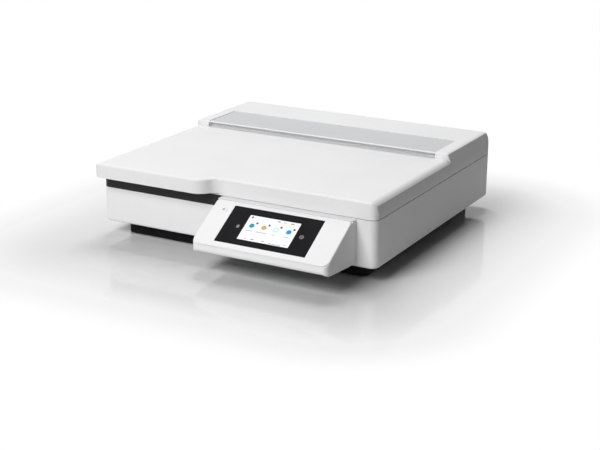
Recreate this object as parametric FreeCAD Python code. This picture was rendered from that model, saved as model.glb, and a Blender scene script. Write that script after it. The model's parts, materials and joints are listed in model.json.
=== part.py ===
import FreeCAD, Part
import math
import os

Vector = FreeCAD.Vector

# All-in-one inkjet printer, in millimetres.
# X runs to the right, Y to the back and Z up, from the middle of the footprint on the floor.

# Case: the depth and the height add up from the stretches below to 604 and 153
case_width = 555.0
print_bay_depth = 180.0
panel_reach = 101.0
plinth_height = 27.0
base_height = 85.0
lid_thickness = 30.0
hump_rise = 11.0
seam_gap = 1.2
case_corner = 14.0
base_edge_round = 4.0
wall = 2.5

# Clearances
fit_gap = 0.3
running_gap = 0.05
seat_gap = 0.2
shaft_hole_gap = 1.0
overshoot = 1.0

# Plinth, feet and screws
plinth_side_inset = 31.0
plinth_end_inset = 26.5
plinth_corner = 15.0
plinth_wall = 3.0
foot_height = 2.0
foot_radius = 10.0
foot_nib_radius = 3.0
foot_edge_distance = 24.0
screw_radius = 2.0
screw_head_radius = 4.0
screw_head_height = 2.5
screw_shoulder = 5.0
screw_tip_gap = 1.0
screw_boss_radius = 7.0
screw_boss_height = 6.0
screw_side_distance = 87.0
screw_front_distance = 71.0
screw_rear_distance = 74.0

# Lid and hump
lid_front_roll = 4.0
lid_side_roll = 15.0
lid_lean = 8.0
hump_depth = 196.0
hump_roll = 3.0
hump_side_roll = 14.0
hump_front_corner = 12.0
hump_foot_round = 3.0
lip_reach = 27.0
lip_length = 212.5
lip_step = 50.0
lip_rise = 4.0

# Lid hinge
hinge_round = 8.0
hinge_spacing = 400.0
hinge_width = 22.0
hinge_pin_radius = 2.5
hinge_knuckle_radius = 5.0
hinge_ear_thickness = 4.0
hinge_ear_gap = 0.5
hinge_plate_height = 20.0
hinge_notch_rise = 7.0

# Lid lining
lining_thickness = 2.0
mat_thickness = 2.0
mat_gap = 0.7
mat_margin = 4.0
lid_boss_radius = 4.0
lid_screw_radius = 1.5
lid_screw_head_radius = 3.5
lid_screw_head_height = 1.8
lid_screw_length = 10.0
lid_screw_side_distance = 32.0
lid_screw_rows = 3

# Cover flap on the hump
flap_side_margin = 32.5
flap_depth = 97.0
flap_thickness = 2.4
flap_sink = 0.8
flap_barrel_radius = 1.8
flap_pin_radius = 1.2
flap_pin_length = 3.0
flap_ledge = 12.0
flap_ledge_thickness = 3.6
groove_depth = 10.0

# Flatbed
scan_length = 426.0
scan_width = 300.0
bed_front_margin = 12.0
bed_rear_margin = 8.5
glass_thickness = 3.0
glass_overlap = 4.0
frame_ledge = 2.5
pan_height = 40.0
pan_wall = 2.0
pan_side_gap = 7.0
pan_front_gap = 2.0
pan_post_radius = 6.0
pan_post_side_distance = 28.0
pan_post_end_distance = 44.0

# Scan carriage and its drive
scan_holder_width = 40.0
scan_holder_height = 13.0
scan_holder_overhang = 2.0
scan_holder_lift = 18.0
scan_end_gap = 6.0
sensor_width = 28.0
sensor_height = 7.5
sensor_lens_width = 7.0
sensor_lens_depth = 1.0
sensor_lens_margin = 14.0
scan_rod_radius = 4.0
scan_rod_lift = 12.0
scan_bush_width = 24.0
scan_bush_depth = 12.0
rod_block_length = 10.0
rod_block_height = 18.0
scan_pulley_distance = 16.0
scan_belt_offset = 33.0
scan_clamp_length = 20.0
motor_shaft_radius = 2.5
scan_motor_radius = 17.5
scan_motor_height = 22.0

# Belts and pulleys
pulley_radius = 7.0
pulley_flange = 2.0
pulley_flange_thickness = 1.0
belt_thickness = 1.2
belt_width = 5.0
belt_side_gap = 0.5
idler_pin_radius = 2.0
idler_pin_end = 1.0

# Sheet path
sheet_width = 216.0
sheet_side_gap = 4.0
sheet_lift = 30.5
panel_side_distance = 37.5
panel_width = 260.0

# Print chassis
chassis_thickness = 1.5
chassis_side_gap = 9.0
chassis_front_gap = 2.0
chassis_rear_room = 55.0
chassis_rise = 6.0
chassis_back_drop = 16.0
carriage_rod_radius = 5.0
carriage_rod_distance = 28.0
carriage_rod_lift = 30.0

# Print carriage
carriage_end_gap = 21.0
carriage_width = 80.0
carriage_depth = 60.0
carriage_lift = 6.0
carriage_height = 46.0
carriage_wall = 2.5
carriage_floor_height = 14.0
bush_front_reach = 13.0
bush_rear_reach = 9.0
bush_half_height = 12.0
head_width = 60.0
head_depth = 48.0
head_gap = 2.0
cartridge_count = 4
cartridge_gap = 0.8
cartridge_headroom = 17.0
cartridge_step = 5.0
reader_depth = 10.0
reader_height = 16.0
reader_slot = 2.6
strip_thickness = 0.6
strip_height = 8.0
carriage_pulley_distance = 18.0
carriage_belt_distance = 8.5
carriage_belt_rise = 18.0
carriage_clamp_length = 20.0
carriage_motor_radius = 15.0
carriage_motor_length = 35.0

# Rollers
feed_distance = 15.0
feed_radius = 8.0
feed_shaft_radius = 4.0
exit_distance = 10.0
exit_radius = 6.0
exit_shaft_radius = 3.0
exit_tyre_length = 18.0
roller_count = 4
pinch_radius = 5.0
pinch_shaft_radius = 2.0
pinch_length = 30.0
star_radius = 5.0
star_shaft_radius = 1.5
star_thickness = 2.0
nip_gap = 0.3
drive_pulley_distance = 9.0
feed_pulley_radius = 12.0
motor_pulley_radius = 8.0
motor_pulley_gap = 5.0
feed_motor_distance = 67.0
feed_motor_lift = 0.5
feed_motor_radius = 14.0

# Platen and guides
cheek_thickness = 6.0
cheek_rise = 10.0
platen_thickness = 3.0
platen_rib_height = 3.0
platen_rib_width = 2.0
platen_rib_count = 9
roller_clearance = 2.0
guide_thickness = 2.0
guide_drop = 20.0
guide_rear_gap = 2.0

# Service station
cap_width = 76.0
cap_depth = 56.0
cap_gap = 0.5
cap_lip = 3.0
pad_height = 6.5
pad_sheet_gap = 48.0

# Rear panel
rear_panel_inset = 3.0
rear_panel_lift = 7.5
rear_panel_tab_reach = 4.0
rear_panel_tab_root = 6.0
rear_panel_tab_thickness = 2.0
rear_insert_margin = 9.0

# Paper openings
outlet_drop = 3.0
outlet_height = 18.0
door_drop = 8.0
door_height = 34.0
door_thickness = 3.0
door_gap = 0.5
door_pin_radius = 1.5
door_pin_length = 4.0
door_pin_lift = 3.5
door_pin_inset = 2.2
door_block_width = 8.0
door_block_depth = 5.5
door_block_height = 12.0

# Control panel
panel_tilt = 31.0
panel_top_drop = 1.5
panel_top_depth = 13.0
panel_face_thickness = 3.0
panel_corner = 14.0
panel_lip = 8.0
panel_edge_round = 2.2
panel_seam_bevel = 0.4
panel_rear_lift = 7.0
panel_front_lift = 13.0
panel_knee = 24.0
window_side = 40.5
window_width = 173.5
window_top = 9.5
window_height = 82.0
window_thickness = 2.0
window_overlap = 3.0
display_side = 38.3
display_width = 97.6
display_top = 24.3
display_height = 54.6
display_thickness = 4.0
display_margin = 3.0
panel_board_gap = 7.0
panel_board_thickness = 1.6
panel_board_margin = 5.0
panel_boss_radius = 3.0
button_side = 23.5
button_slope = 22.0
button_radius = 6.5
button_travel = 0.8
button_proud = 0.3

# Front band
band_height = 19.5
band_depth = 1.2
band_wrap = 60.0

# Electronics
board_thickness = 1.6
board_lift = 10.5
board_side_distance = 52.5
board_sheet_distance = 43.0
board_front_distance = 16.0
board_rear_distance = 62.0
board_chip_size = 36.0
board_chip_height = 2.0
board_connector_width = 8.0
board_connector_length = 24.0
board_connector_height = 6.0
board_connector_count = 4
post_radius = 3.5
post_edge = 8.0
supply_side_distance = 15.5
supply_port_gap = 17.0
supply_height = 55.0
supply_gap = 2.0
inlet_side_distance = 51.5
inlet_width = 28.0
inlet_height = 22.0
inlet_lift = 10.5
inlet_depth = 17.0
inlet_wall = 2.0
blade_width = 2.0
blade_height = 4.0
blade_pitch = 7.0
port_board_sheet_gap = 42.0
port_board_width = 85.0
port_board_depth = 36.0
port_board_lift = 6.5
port_spacing = 17.0
port_depth = 16.0
usb_width = 13.0
usb_height = 12.0
lan_width = 17.0
lan_height = 14.0
port_wall = 1.5

# Case places
half_width = case_width / 2
case_depth = wall + bed_front_margin + scan_width + bed_rear_margin + print_bay_depth
overall_depth = case_depth + panel_reach
rear = overall_depth / 2
front = rear - case_depth
seam_height = plinth_height + base_height
base_top = seam_height - seam_gap
floor_top = plinth_height + wall
lid_top = seam_height + lid_thickness
overall_height = lid_top + hump_rise
hump_front = rear - hump_depth
lid_height = overall_height - seam_height
lid_bulge = (lid_height ** 2 + lid_lean ** 2) / (2 * lid_lean)
hinge_y = rear - hinge_round
hinge_z = seam_height + hinge_round
inner_rear = rear - wall
rear_panel_half = half_width - case_corner - rear_panel_inset
rear_panel_bottom = plinth_height + rear_panel_lift

# Flatbed places
glass_top = base_top
bed_front = front + wall + bed_front_margin
bed_rear = bed_front + scan_width
bed_middle = (bed_front + bed_rear) / 2
frame_rear = bed_rear + bed_rear_margin
frame_bottom = glass_top - glass_thickness - frame_ledge
pan_bottom = frame_bottom - pan_height
pan_floor = pan_bottom + pan_wall
pan_half_width = half_width - wall - pan_side_gap
pan_inner = pan_half_width - pan_wall
pan_front = front + wall + pan_front_gap
pan_post_side = pan_half_width - pan_post_side_distance
scan_home = -(pan_inner - rod_block_length - scan_end_gap - scan_holder_width / 2)
scan_pulley_x = pan_inner - scan_pulley_distance
lining_top = base_top + mat_gap + mat_thickness + lining_thickness

# Flap places
flap_width = case_width - 2 * flap_side_margin
flap_top = overall_height - flap_sink
flap_bottom = flap_top - flap_thickness
flap_rear = hump_front + flap_depth
flap_axis_y = flap_rear - flap_barrel_radius
flap_axis_z = flap_top - flap_thickness / 2

# Sheet path places
panel_right = half_width - panel_side_distance
panel_left = panel_right - panel_width
sheet_plane = floor_top + sheet_lift
sheet_middle = (panel_left + panel_right) / 2
sheet_left = sheet_middle - sheet_width / 2 - sheet_side_gap
sheet_right = sheet_middle + sheet_width / 2 + sheet_side_gap
cheek_left = sheet_left - cheek_thickness
cheek_right = sheet_right + cheek_thickness
guide_rear = frame_rear - guide_rear_gap
guide_rear_height = sheet_plane - platen_rib_height
guide_front_height = guide_rear_height - guide_drop
outlet_bottom = guide_front_height - outlet_drop
outlet_top = outlet_bottom + outlet_height
door_bottom = sheet_plane - door_drop
door_top = door_bottom + door_height
door_pin_y = rear - door_pin_inset
door_pin_z = door_bottom + door_pin_lift

# Print engine places
chassis_half_width = half_width - wall - chassis_side_gap
chassis_inner = chassis_half_width - chassis_thickness
chassis_front = frame_rear + chassis_front_gap
chassis_back = rear - chassis_rear_room
chassis_rear_face = chassis_back + chassis_thickness
chassis_top = seam_height + chassis_rise
chassis_back_bottom = sheet_plane - chassis_back_drop
carriage_home = -(chassis_half_width - carriage_end_gap - carriage_width / 2)
carriage_left = carriage_home - carriage_width / 2
carriage_right = carriage_home + carriage_width / 2
carriage_rod_y = chassis_back - carriage_rod_distance
carriage_rod_z = sheet_plane + carriage_rod_lift
carriage_rear = carriage_rod_y - bush_front_reach
carriage_front = carriage_rear - carriage_depth
carriage_middle = (carriage_front + carriage_rear) / 2
carriage_bottom = sheet_plane + carriage_lift
carriage_top = carriage_bottom + carriage_height
carriage_floor = carriage_bottom + carriage_floor_height
head_top = carriage_floor - carriage_wall
cartridge_top = overall_height - cartridge_headroom
bush_rear = carriage_rod_y + bush_rear_reach
carriage_pulley_x = chassis_half_width - carriage_pulley_distance
carriage_belt_y = chassis_back - carriage_belt_distance
carriage_belt_z = carriage_rod_z + carriage_belt_rise
feed_y = chassis_back - feed_distance
feed_z = sheet_plane - feed_radius
exit_y = frame_rear + exit_distance
exit_z = sheet_plane - exit_radius
pinch_z = sheet_plane + nip_gap + pinch_radius
star_z = sheet_plane + nip_gap + star_radius
exit_pulley_radius = feed_pulley_radius * exit_radius / feed_radius
drive_pulley_x = chassis_half_width - drive_pulley_distance
feed_motor_y = chassis_back - feed_motor_distance
feed_motor_z = floor_top + feed_motor_lift + feed_motor_radius

# Panel places
panel_slope = (panel_reach - panel_top_depth) / math.cos(math.radians(panel_tilt))
panel_top_y = front - panel_top_depth
panel_top_z = seam_height - panel_top_drop
panel_rear_bottom = plinth_height + panel_rear_lift
panel_front_bottom = plinth_height + panel_front_lift
window_left = panel_left + window_side
display_left = window_left + display_side
button_x = panel_left + button_side
band_right = panel_left + wall
band_bottom = base_top - band_height

# Electronics places
board_left = -half_width + board_side_distance
board_right = sheet_left - board_sheet_distance
board_front = front + board_front_distance
board_back = frame_rear - board_rear_distance
board_bottom = floor_top + board_lift
supply_left = -half_width + supply_side_distance
inlet_x = -half_width + inlet_side_distance
inlet_bottom = floor_top + inlet_lift
port_board_right = cheek_left - port_board_sheet_gap
port_board_left = port_board_right - port_board_width
supply_right = port_board_left - supply_port_gap
port_board_bottom = floor_top + port_board_lift
port_board_rear = inner_rear - fit_gap
port_floor = port_board_bottom + board_thickness
usb_left = port_board_left + post_edge
lan_left = usb_left + usb_width + port_spacing


def box(x0, x1, y0, y1, z0, z1):
    return Part.makeBox(x1 - x0, y1 - y0, z1 - z0, Vector(x0, y0, z0))


def rod_x(radius, x0, x1, y, z):
    return Part.makeCylinder(radius, x1 - x0, Vector(x0, y, z), Vector(1, 0, 0))


def rod_y(radius, y0, y1, x, z):
    return Part.makeCylinder(radius, y1 - y0, Vector(x, y0, z), Vector(0, 1, 0))


def rod_z(radius, z0, z1, x, y):
    return Part.makeCylinder(radius, z1 - z0, Vector(x, y, z0), Vector(0, 0, 1))


def join(first, *others):
    return first.fuse(list(others)).removeSplitter()


def prism_x(points, x0, x1):
    corners = [Vector(x0, y, z) for y, z in points]
    face = Part.Face(Part.makePolygon(corners + corners[:1]))
    return face.extrude(Vector(x1 - x0, 0, 0))


def arc(center_x, center_y, radius, start, end):
    angles = [math.radians(a) for a in (start, (start + end) / 2, end)]
    points = [Vector(center_x + radius * math.cos(a), center_y + radius * math.sin(a), 0) for a in angles]
    return Part.Arc(*points).toShape()


def line(x0, y0, x1, y1):
    return Part.LineSegment(Vector(x0, y0, 0), Vector(x1, y1, 0)).toShape()


def slab(edges, z0, z1):
    face = Part.Face(Part.Wire(edges))
    face.translate(Vector(0, 0, z0))
    return face.extrude(Vector(0, 0, z1 - z0))


def outline(x0, x1, y0, y1, front_radius, rear_radius):
    f = front_radius
    r = rear_radius
    return [
        arc(x0 + f, y0 + f, f, 180, 270),
        line(x0 + f, y0, x1 - f, y0),
        arc(x1 - f, y0 + f, f, 270, 360),
        line(x1, y0 + f, x1, y1 - r),
        arc(x1 - r, y1 - r, r, 0, 90),
        line(x1 - r, y1, x0 + r, y1),
        arc(x0 + r, y1 - r, r, 90, 180),
        line(x0, y1 - r, x0, y0 + f),
    ]


def rounded_box(x0, x1, y0, y1, z0, z1, radius):
    return slab(outline(x0, x1, y0, y1, radius, radius), z0, z1)


def case_block(inset, z0, z1):
    side = half_width - inset
    return rounded_box(-side, side, front + inset, rear - inset, z0, z1, case_corner - inset)


def level_edges(shape, z):
    return [e for e in shape.Edges if abs(e.BoundBox.ZMin - z) < 1e-4 and abs(e.BoundBox.ZMax - z) < 1e-4]


def soften(shape, z, radius):
    return shape.makeFillet(radius, level_edges(shape, z))


def belt_loop(circles, thickness, gap):
    # Flat loop round pulleys given as (u, v, radius), counter-clockwise: outer hull less inner hull.
    def hull(extra):
        edges = []
        count = len(circles)
        angles = []
        for i in range(count):
            u0, v0, r0 = circles[i]
            u1, v1, r1 = circles[(i + 1) % count]
            distance = math.hypot(u1 - u0, v1 - v0)
            angles.append(math.atan2(v1 - v0, u1 - u0) - math.pi / 2 + math.asin((r0 - r1) / distance))
        ends = []
        for i in range(count):
            u, v, r = circles[i]
            start = angles[i - 1]
            stop = angles[i]
            while stop < start:
                stop += 2 * math.pi
            edges.append(arc(u, v, r + extra, math.degrees(start), math.degrees(stop)))
            at = [(u + (r + extra) * math.cos(a), v + (r + extra) * math.sin(a)) for a in (start, stop)]
            ends.append(at)
        for i in range(count):
            u0, v0 = ends[i][1]
            u1, v1 = ends[(i + 1) % count][0]
            edges.append(line(u0, v0, u1, v1))
        return Part.Face(Part.Wire(Part.__sortEdges__(edges)))
    return hull(gap + thickness).cut(hull(gap))


def flat_pulley(radius, thickness):
    # Pulley about Z, from 0 up: a toothed drum between two flanges.
    flange = pulley_flange_thickness
    drum = rod_z(radius, 0, thickness, 0, 0)
    lower = rod_z(radius + pulley_flange, 0, flange, 0, 0)
    upper = rod_z(radius + pulley_flange, thickness - flange, thickness, 0, 0)
    return join(drum, lower, upper)


def on_panel(shape):
    # From the panel's own plane (X, up the slope, out of the face) to its place on the case.
    shape.rotate(Vector(0, 0, 0), Vector(1, 0, 0), panel_tilt)
    shape.translate(Vector(0, panel_top_y, panel_top_z))
    return shape


def export(name, shape):
    shape.exportStep("parts/" + name + ".step")


def group(solids):
    return Part.makeCompound(solids)


os.makedirs("parts", exist_ok=True)

# Base shell, rear panel, plinth and feet
screw_places = []
for side in (-1, 1):
    x = side * (half_width - screw_side_distance)
    screw_places.append((x, front + screw_front_distance))
    screw_places.append((x, rear - screw_rear_distance))

pan_posts = []
for side in (-1, 1):
    pan_posts.append((side * pan_post_side, pan_front + pan_post_end_distance))
    pan_posts.append((side * pan_post_side, frame_rear - pan_post_end_distance))

board_posts = []
for x in (board_left + post_edge, board_right - post_edge):
    for y in (board_front + post_edge, board_back - post_edge):
        board_posts.append((x, y))
port_posts = []
for x in (port_board_left + post_edge, port_board_right - post_edge):
    port_posts.append((x, port_board_rear - port_board_depth + post_edge))


def base_shell():
    shell = soften(case_block(0, plinth_height, base_top), plinth_height, base_edge_round)
    shell = shell.cut(case_block(wall, floor_top, seam_height))
    additions = [rod_z(pan_post_radius, plinth_height, pan_bottom, x, y) for x, y in pan_posts]
    additions += [rod_z(post_radius, plinth_height, board_bottom, x, y) for x, y in board_posts]
    additions += [rod_z(post_radius, plinth_height, port_board_bottom, x, y) for x, y in port_posts]
    boss_top = floor_top + screw_boss_height
    additions += [rod_z(screw_boss_radius, plinth_height, boss_top, x, y) for x, y in screw_places]
    shell = join(shell, *additions)
    screw_hole = screw_radius + running_gap
    cuts = [rod_z(screw_hole, plinth_height - overshoot, boss_top + overshoot, x, y) for x, y in screw_places]
    outlet_rear = front + wall + overshoot
    cuts.append(box(sheet_left, sheet_right, front - overshoot, outlet_rear, outlet_bottom, outlet_top))
    panel_reach_x = rear_panel_half + seat_gap
    cuts.append(rear_window(-panel_reach_x, panel_reach_x, rear_panel_bottom - seat_gap, seam_height))
    cuts.append(band_region())
    return shell.cut(cuts)


def rear_window(x0, x1, z0, z1):
    return box(x0, x1, inner_rear - overshoot, rear + overshoot, z0, z1)


def rear_panel():
    # Plate held by a tab at each end, with three inserts: the inlet's, the data sockets' and the feed frame.
    plate = box(-rear_panel_half, rear_panel_half, inner_rear, rear, rear_panel_bottom, base_top)
    tabs = []
    tab_rear = inner_rear - seat_gap
    tab_front = tab_rear - rear_panel_tab_thickness
    for side in (-1, 1):
        root = side * (rear_panel_half - rear_panel_tab_root)
        edge = side * rear_panel_half
        tip = side * (rear_panel_half + rear_panel_tab_reach)
        for end, y0, y1 in ((tip, tab_front, tab_rear), (edge, tab_rear, inner_rear)):
            tabs.append(box(min(root, end), max(root, end), y0, y1, rear_panel_bottom, base_top))
    inserts = [inlet_insert(), socket_insert(), feed_insert()]
    plate = join(plate, *tabs)
    for insert in inserts:
        bounds = insert.BoundBox
        x0 = bounds.XMin - seat_gap
        x1 = bounds.XMax + seat_gap
        plate = plate.cut(rear_window(x0, x1, rear_panel_bottom - overshoot, bounds.ZMax + seat_gap))
    return group([plate] + inserts)


def rear_insert(x0, x1, z1):
    return box(x0, x1, inner_rear, rear, rear_panel_bottom, z1)


def inlet_insert():
    x0 = inlet_x - inlet_width / 2
    x1 = inlet_x + inlet_width / 2
    z1 = inlet_bottom + inlet_height
    margin = rear_insert_margin
    return rear_insert(x0 - margin, x1 + margin, z1 + margin).cut(rear_window(x0, x1, inlet_bottom, z1))


def socket_insert():
    x1 = lan_left + lan_width
    z1 = port_floor + lan_height
    margin = rear_insert_margin
    insert = rear_insert(usb_left - margin, x1 + margin, z1 + margin)
    usb = rear_window(usb_left, usb_left + usb_width, port_floor, port_floor + usb_height)
    return insert.cut([usb, rear_window(lan_left, x1, port_floor, z1)])


def feed_insert():
    # Frame round the feed window, with a block at each end for the door's pins.
    reach = door_block_width + rear_insert_margin / 2
    frame = rear_insert(sheet_left - reach, sheet_right + reach, door_top + rear_insert_margin)
    blocks = []
    for x0 in (sheet_left - door_block_width, sheet_right):
        block_front = inner_rear - door_block_depth
        block_top = door_bottom + door_block_height
        block = box(x0, x0 + door_block_width, block_front, rear - wall / 2, door_bottom, block_top)
        blocks.append(block)
    frame = join(frame, *blocks)
    pin_reach = door_pin_length + door_gap
    pin_hole = door_pin_radius + running_gap
    pins = rod_x(pin_hole, sheet_left - pin_reach, sheet_right + pin_reach, door_pin_y, door_pin_z)
    return frame.cut([rear_window(sheet_left, sheet_right, door_bottom, door_top), pins])


def band_region():
    ring = case_block(0, band_bottom, base_top).cut(case_block(band_depth, band_bottom, base_top))
    reach = box(-half_width, band_right, front, front + band_wrap, band_bottom, base_top)
    return ring.common(reach)


def plinth():
    side = half_width - plinth_side_inset
    front_face = front + plinth_end_inset
    rear_face = rear - plinth_end_inset
    tray = rounded_box(-side, side, front_face, rear_face, foot_height, plinth_height, plinth_corner)
    hollow_radius = plinth_corner - plinth_wall
    hollow = rounded_box(
        -side + plinth_wall, side - plinth_wall, front_face + plinth_wall, rear_face - plinth_wall,
        foot_height + plinth_wall, plinth_height + overshoot, hollow_radius,
    )
    tray = tray.cut(hollow)
    tray = join(tray, *[rod_z(screw_boss_radius, foot_height, plinth_height, x, y) for x, y in screw_places])
    shoulder = plinth_height - screw_shoulder
    cuts = [rod_z(screw_head_radius + fit_gap, 0, shoulder, x, y) for x, y in screw_places]
    cuts += [rod_z(screw_radius + running_gap, 0, plinth_height + overshoot, x, y) for x, y in screw_places]
    nib_hole = foot_nib_radius + running_gap
    cuts += [rod_z(nib_hole, 0, foot_height + plinth_wall + overshoot, x, y) for x, y in foot_places()]
    return tray.cut(cuts)


def foot_places():
    x = half_width - plinth_side_inset - foot_edge_distance
    near = front + plinth_end_inset + foot_edge_distance
    far = rear - plinth_end_inset - foot_edge_distance
    return [(-x, near), (x, near), (-x, far), (x, far)]


def rubber_feet():
    feet = []
    for x, y in foot_places():
        pad = soften(rod_z(foot_radius, 0, foot_height, x, y), 0, foot_height / 3)
        nib = rod_z(foot_nib_radius, foot_height, foot_height + plinth_wall, x, y)
        feet.append(join(pad, nib))
    return group(feet)


def case_screws():
    seat = plinth_height - screw_shoulder
    screws = []
    for x, y in screw_places:
        head = rod_z(screw_head_radius, seat - screw_head_height, seat, x, y)
        shank = rod_z(screw_radius, seat, floor_top + screw_boss_height - screw_tip_gap, x, y)
        screws.append(join(head, shank))
    return group(screws)


def hinge_brackets():
    brackets = []
    for side in (-1, 1):
        middle = side * hinge_spacing / 2
        x0 = middle - hinge_width / 2
        x1 = middle + hinge_width / 2
        knuckle_front = hinge_y - hinge_knuckle_radius
        knuckle_rear = hinge_y + hinge_knuckle_radius
        plate = box(x0, x1, knuckle_front, inner_rear, base_top - hinge_plate_height, base_top)
        neck = box(x0, x1, knuckle_front, knuckle_rear, base_top, hinge_z)
        knuckle = rod_x(hinge_knuckle_radius, x0, x1, hinge_y, hinge_z)
        bracket = join(plate, neck, knuckle)
        bore = rod_x(hinge_pin_radius + running_gap, x0 - overshoot, x1 + overshoot, hinge_y, hinge_z)
        brackets.append(bracket.cut(bore))
    return group(brackets)


export("base_shell", base_shell())
export("rear_panel", rear_panel())
export("front_band", band_region())
export("plinth", plinth())
export("rubber_feet", rubber_feet())
export("case_screws", case_screws())
export("hinge_brackets", hinge_brackets())


# Lid: flat front, raised rear, grip lip at the left of the front edge
def lid_outline():
    lip_front = front - lip_reach
    step_start = -half_width + lip_length
    step_end = step_start + lip_step
    bend = (lip_step ** 2 + lip_reach ** 2) / (4 * lip_reach)
    turn = math.degrees(math.asin(lip_step / 2 / bend))
    r = case_corner
    return [
        arc(-half_width + r, lip_front + r, r, 180, 270),
        line(-half_width + r, lip_front, step_start, lip_front),
        arc(step_start, lip_front + bend, bend, 270, 270 + turn),
        arc(step_end, front - bend, bend, 90 + turn, 90),
        line(step_end, front, half_width - r, front),
        arc(half_width - r, front + r, r, 270, 360),
        line(half_width, front + r, half_width, rear - r),
        arc(half_width - r, rear - r, r, 0, 90),
        line(half_width - r, rear, -half_width + r, rear),
        arc(-half_width + r, rear - r, r, 90, 180),
        line(-half_width, rear - r, -half_width, lip_front + r),
    ]


def leaning_sides(inset):
    # Limits of the lid: both sides and the back bow inwards from the seam up to the top.
    radius = lid_bulge - inset
    side = half_width - lid_bulge
    back = rear - lid_bulge
    y0 = front - lip_reach - overshoot
    y1 = rear + overshoot
    z0 = seam_height - 2 * overshoot
    z1 = overall_height + overshoot
    flanks = [rod_y(radius, y0, y1, x, seam_height) for x in (-side, side)]
    across = join(box(-side, side, y0, y1, z0, z1), *flanks)
    stern = rod_x(radius, -half_width, half_width, back, seam_height)
    along = join(box(-half_width, half_width, y0, back, z0, z1), stern)
    return across.common(along)


def rolled_sides(side, z0, z1, radius):
    # Limits with a wide roll down both long sides.
    trim = box(-side, side, front - lip_reach - overshoot, rear + overshoot, z0, z1)
    long_edges = [e for e in level_edges(trim, z1) if e.BoundBox.YLength > e.BoundBox.XLength]
    return trim.makeFillet(radius, long_edges)


def flat_block(edges, inset, z0):
    # Flat part: a crisp roll at the front edge and a wide one down both sides.
    top = lid_top - inset
    side = half_width - inset
    block = soften(slab(edges, z0, top), top, lid_front_roll - inset)
    return block.common(rolled_sides(side, z0, top, lid_side_roll - inset))


def hump_block(inset, z0):
    side = half_width - inset
    front_radius = hump_front_corner - inset
    rear_radius = case_corner - inset
    top = overall_height - inset
    edges = outline(-side, side, hump_front + inset, rear - inset, front_radius, rear_radius)
    block = soften(slab(edges, z0, top), top, hump_roll - inset)
    return block.common(rolled_sides(side, z0, top, hump_side_roll - inset))


def hump_foot():
    # Hollow round where the hump rises from the flat part.
    r = hump_foot_round
    side = half_width - lid_side_roll
    strip = box(-side, side, hump_front - r, hump_front + wall, lid_top - wall, lid_top + r)
    return strip.cut(rod_x(r, -side, side, hump_front - r, lid_top + r))


def lid_shell():
    flat = flat_block(lid_outline(), 0, seam_height)
    shell = join(flat, hump_block(0, seam_height), hump_foot()).common(leaning_sides(0))
    room_bottom = seam_height - overshoot
    side = half_width - wall
    room_corner = case_corner - wall
    room_edges = outline(-side, side, front + wall, rear - wall, room_corner, room_corner)
    room = join(flat_block(room_edges, wall, room_bottom), hump_block(wall, room_bottom))
    shell = shell.cut(room.common(leaning_sides(wall)))
    shell = join(shell, flap_seat(), *(lid_bosses() + lid_ears()))
    cuts = [box(-half_width, half_width, front - lip_reach, front, room_bottom, seam_height + lip_rise)]
    corner = box(-half_width, half_width, hinge_y, rear + overshoot, room_bottom, hinge_z)
    cuts.append(corner.cut(rod_x(hinge_round, -half_width, half_width, hinge_y, hinge_z)))
    notch_half = hinge_width / 2 + hinge_ear_gap
    for side in (-1, 1):
        middle = side * hinge_spacing / 2
        notch_top = hinge_z + hinge_notch_rise
        notch_rear = rear + overshoot
        notch = box(middle - notch_half, middle + notch_half, hinge_y, notch_rear, room_bottom, notch_top)
        cuts.append(notch)
        pin_half = notch_half + hinge_ear_thickness + overshoot
        hole = hinge_pin_radius + running_gap
        cuts.append(rod_x(hole, middle - pin_half, middle + pin_half, hinge_y, hinge_z))
    cuts += flap_room()
    for x, y in lid_screw_places():
        hole = lid_screw_radius + running_gap
        cuts.append(rod_z(hole, lining_top - overshoot, lining_top + lid_screw_length, x, y))
    return shell.cut(cuts)


def flap_seat():
    # Thickened rim round the opening under the flap, and the backing of the finger groove.
    half = flap_width / 2 + flap_ledge / 2
    seat_top = overall_height - wall
    seat_bottom = flap_bottom - flap_barrel_radius - flap_ledge_thickness
    rim = box(-half, half, hump_front + wall, flap_rear + flap_ledge, seat_bottom, seat_top)
    backing_rear = hump_front + groove_depth + flap_ledge
    backing_bottom = lid_top - wall
    backing = box(-half, half, hump_front + wall, backing_rear, backing_bottom, seat_top)
    opening_front = backing_rear - flap_ledge + wall
    opening_half = flap_width / 2 - flap_ledge
    opening_rear = flap_rear - flap_ledge
    opening = box(
        -opening_half, opening_half, opening_front, opening_rear, backing_bottom, overall_height,
    )
    return join(rim, backing).cut(opening)


def flap_room():
    half = flap_width / 2 + fit_gap
    recess_front = hump_front - hump_foot_round
    recess_rear = flap_rear + fit_gap
    floor = flap_bottom - fit_gap
    above = overall_height + overshoot
    recess = box(-half, half, recess_front, recess_rear, floor, above)
    barrel_y = flap_axis_y - flap_barrel_radius - fit_gap
    barrel_floor = flap_axis_z - flap_barrel_radius - fit_gap
    barrel = box(-half, half, barrel_y, recess_rear, barrel_floor, above)
    pin_half = flap_width / 2 + flap_pin_length + fit_gap
    pins = rod_x(flap_pin_radius + running_gap, -pin_half, pin_half, flap_axis_y, flap_axis_z)
    groove = box(-half, half, recess_front, hump_front + groove_depth, lid_top, floor)
    opening_half = flap_width / 2 - flap_ledge
    opening_front = hump_front + groove_depth + wall
    opening_rear = flap_rear - flap_ledge
    opening = box(-opening_half, opening_half, opening_front, opening_rear, lid_top, above)
    return [recess, barrel, pins, groove, opening]


def lid_screw_places():
    x = half_width - lid_screw_side_distance
    first = front + lid_screw_side_distance
    last = frame_rear - lid_screw_side_distance
    step = (last - first) / (lid_screw_rows - 1)
    return [(side * x, first + row * step) for side in (-1, 1) for row in range(lid_screw_rows)]


def lid_bosses():
    ceiling = lid_top - wall / 2
    return [rod_z(lid_boss_radius, lining_top, ceiling, x, y) for x, y in lid_screw_places()]


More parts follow.
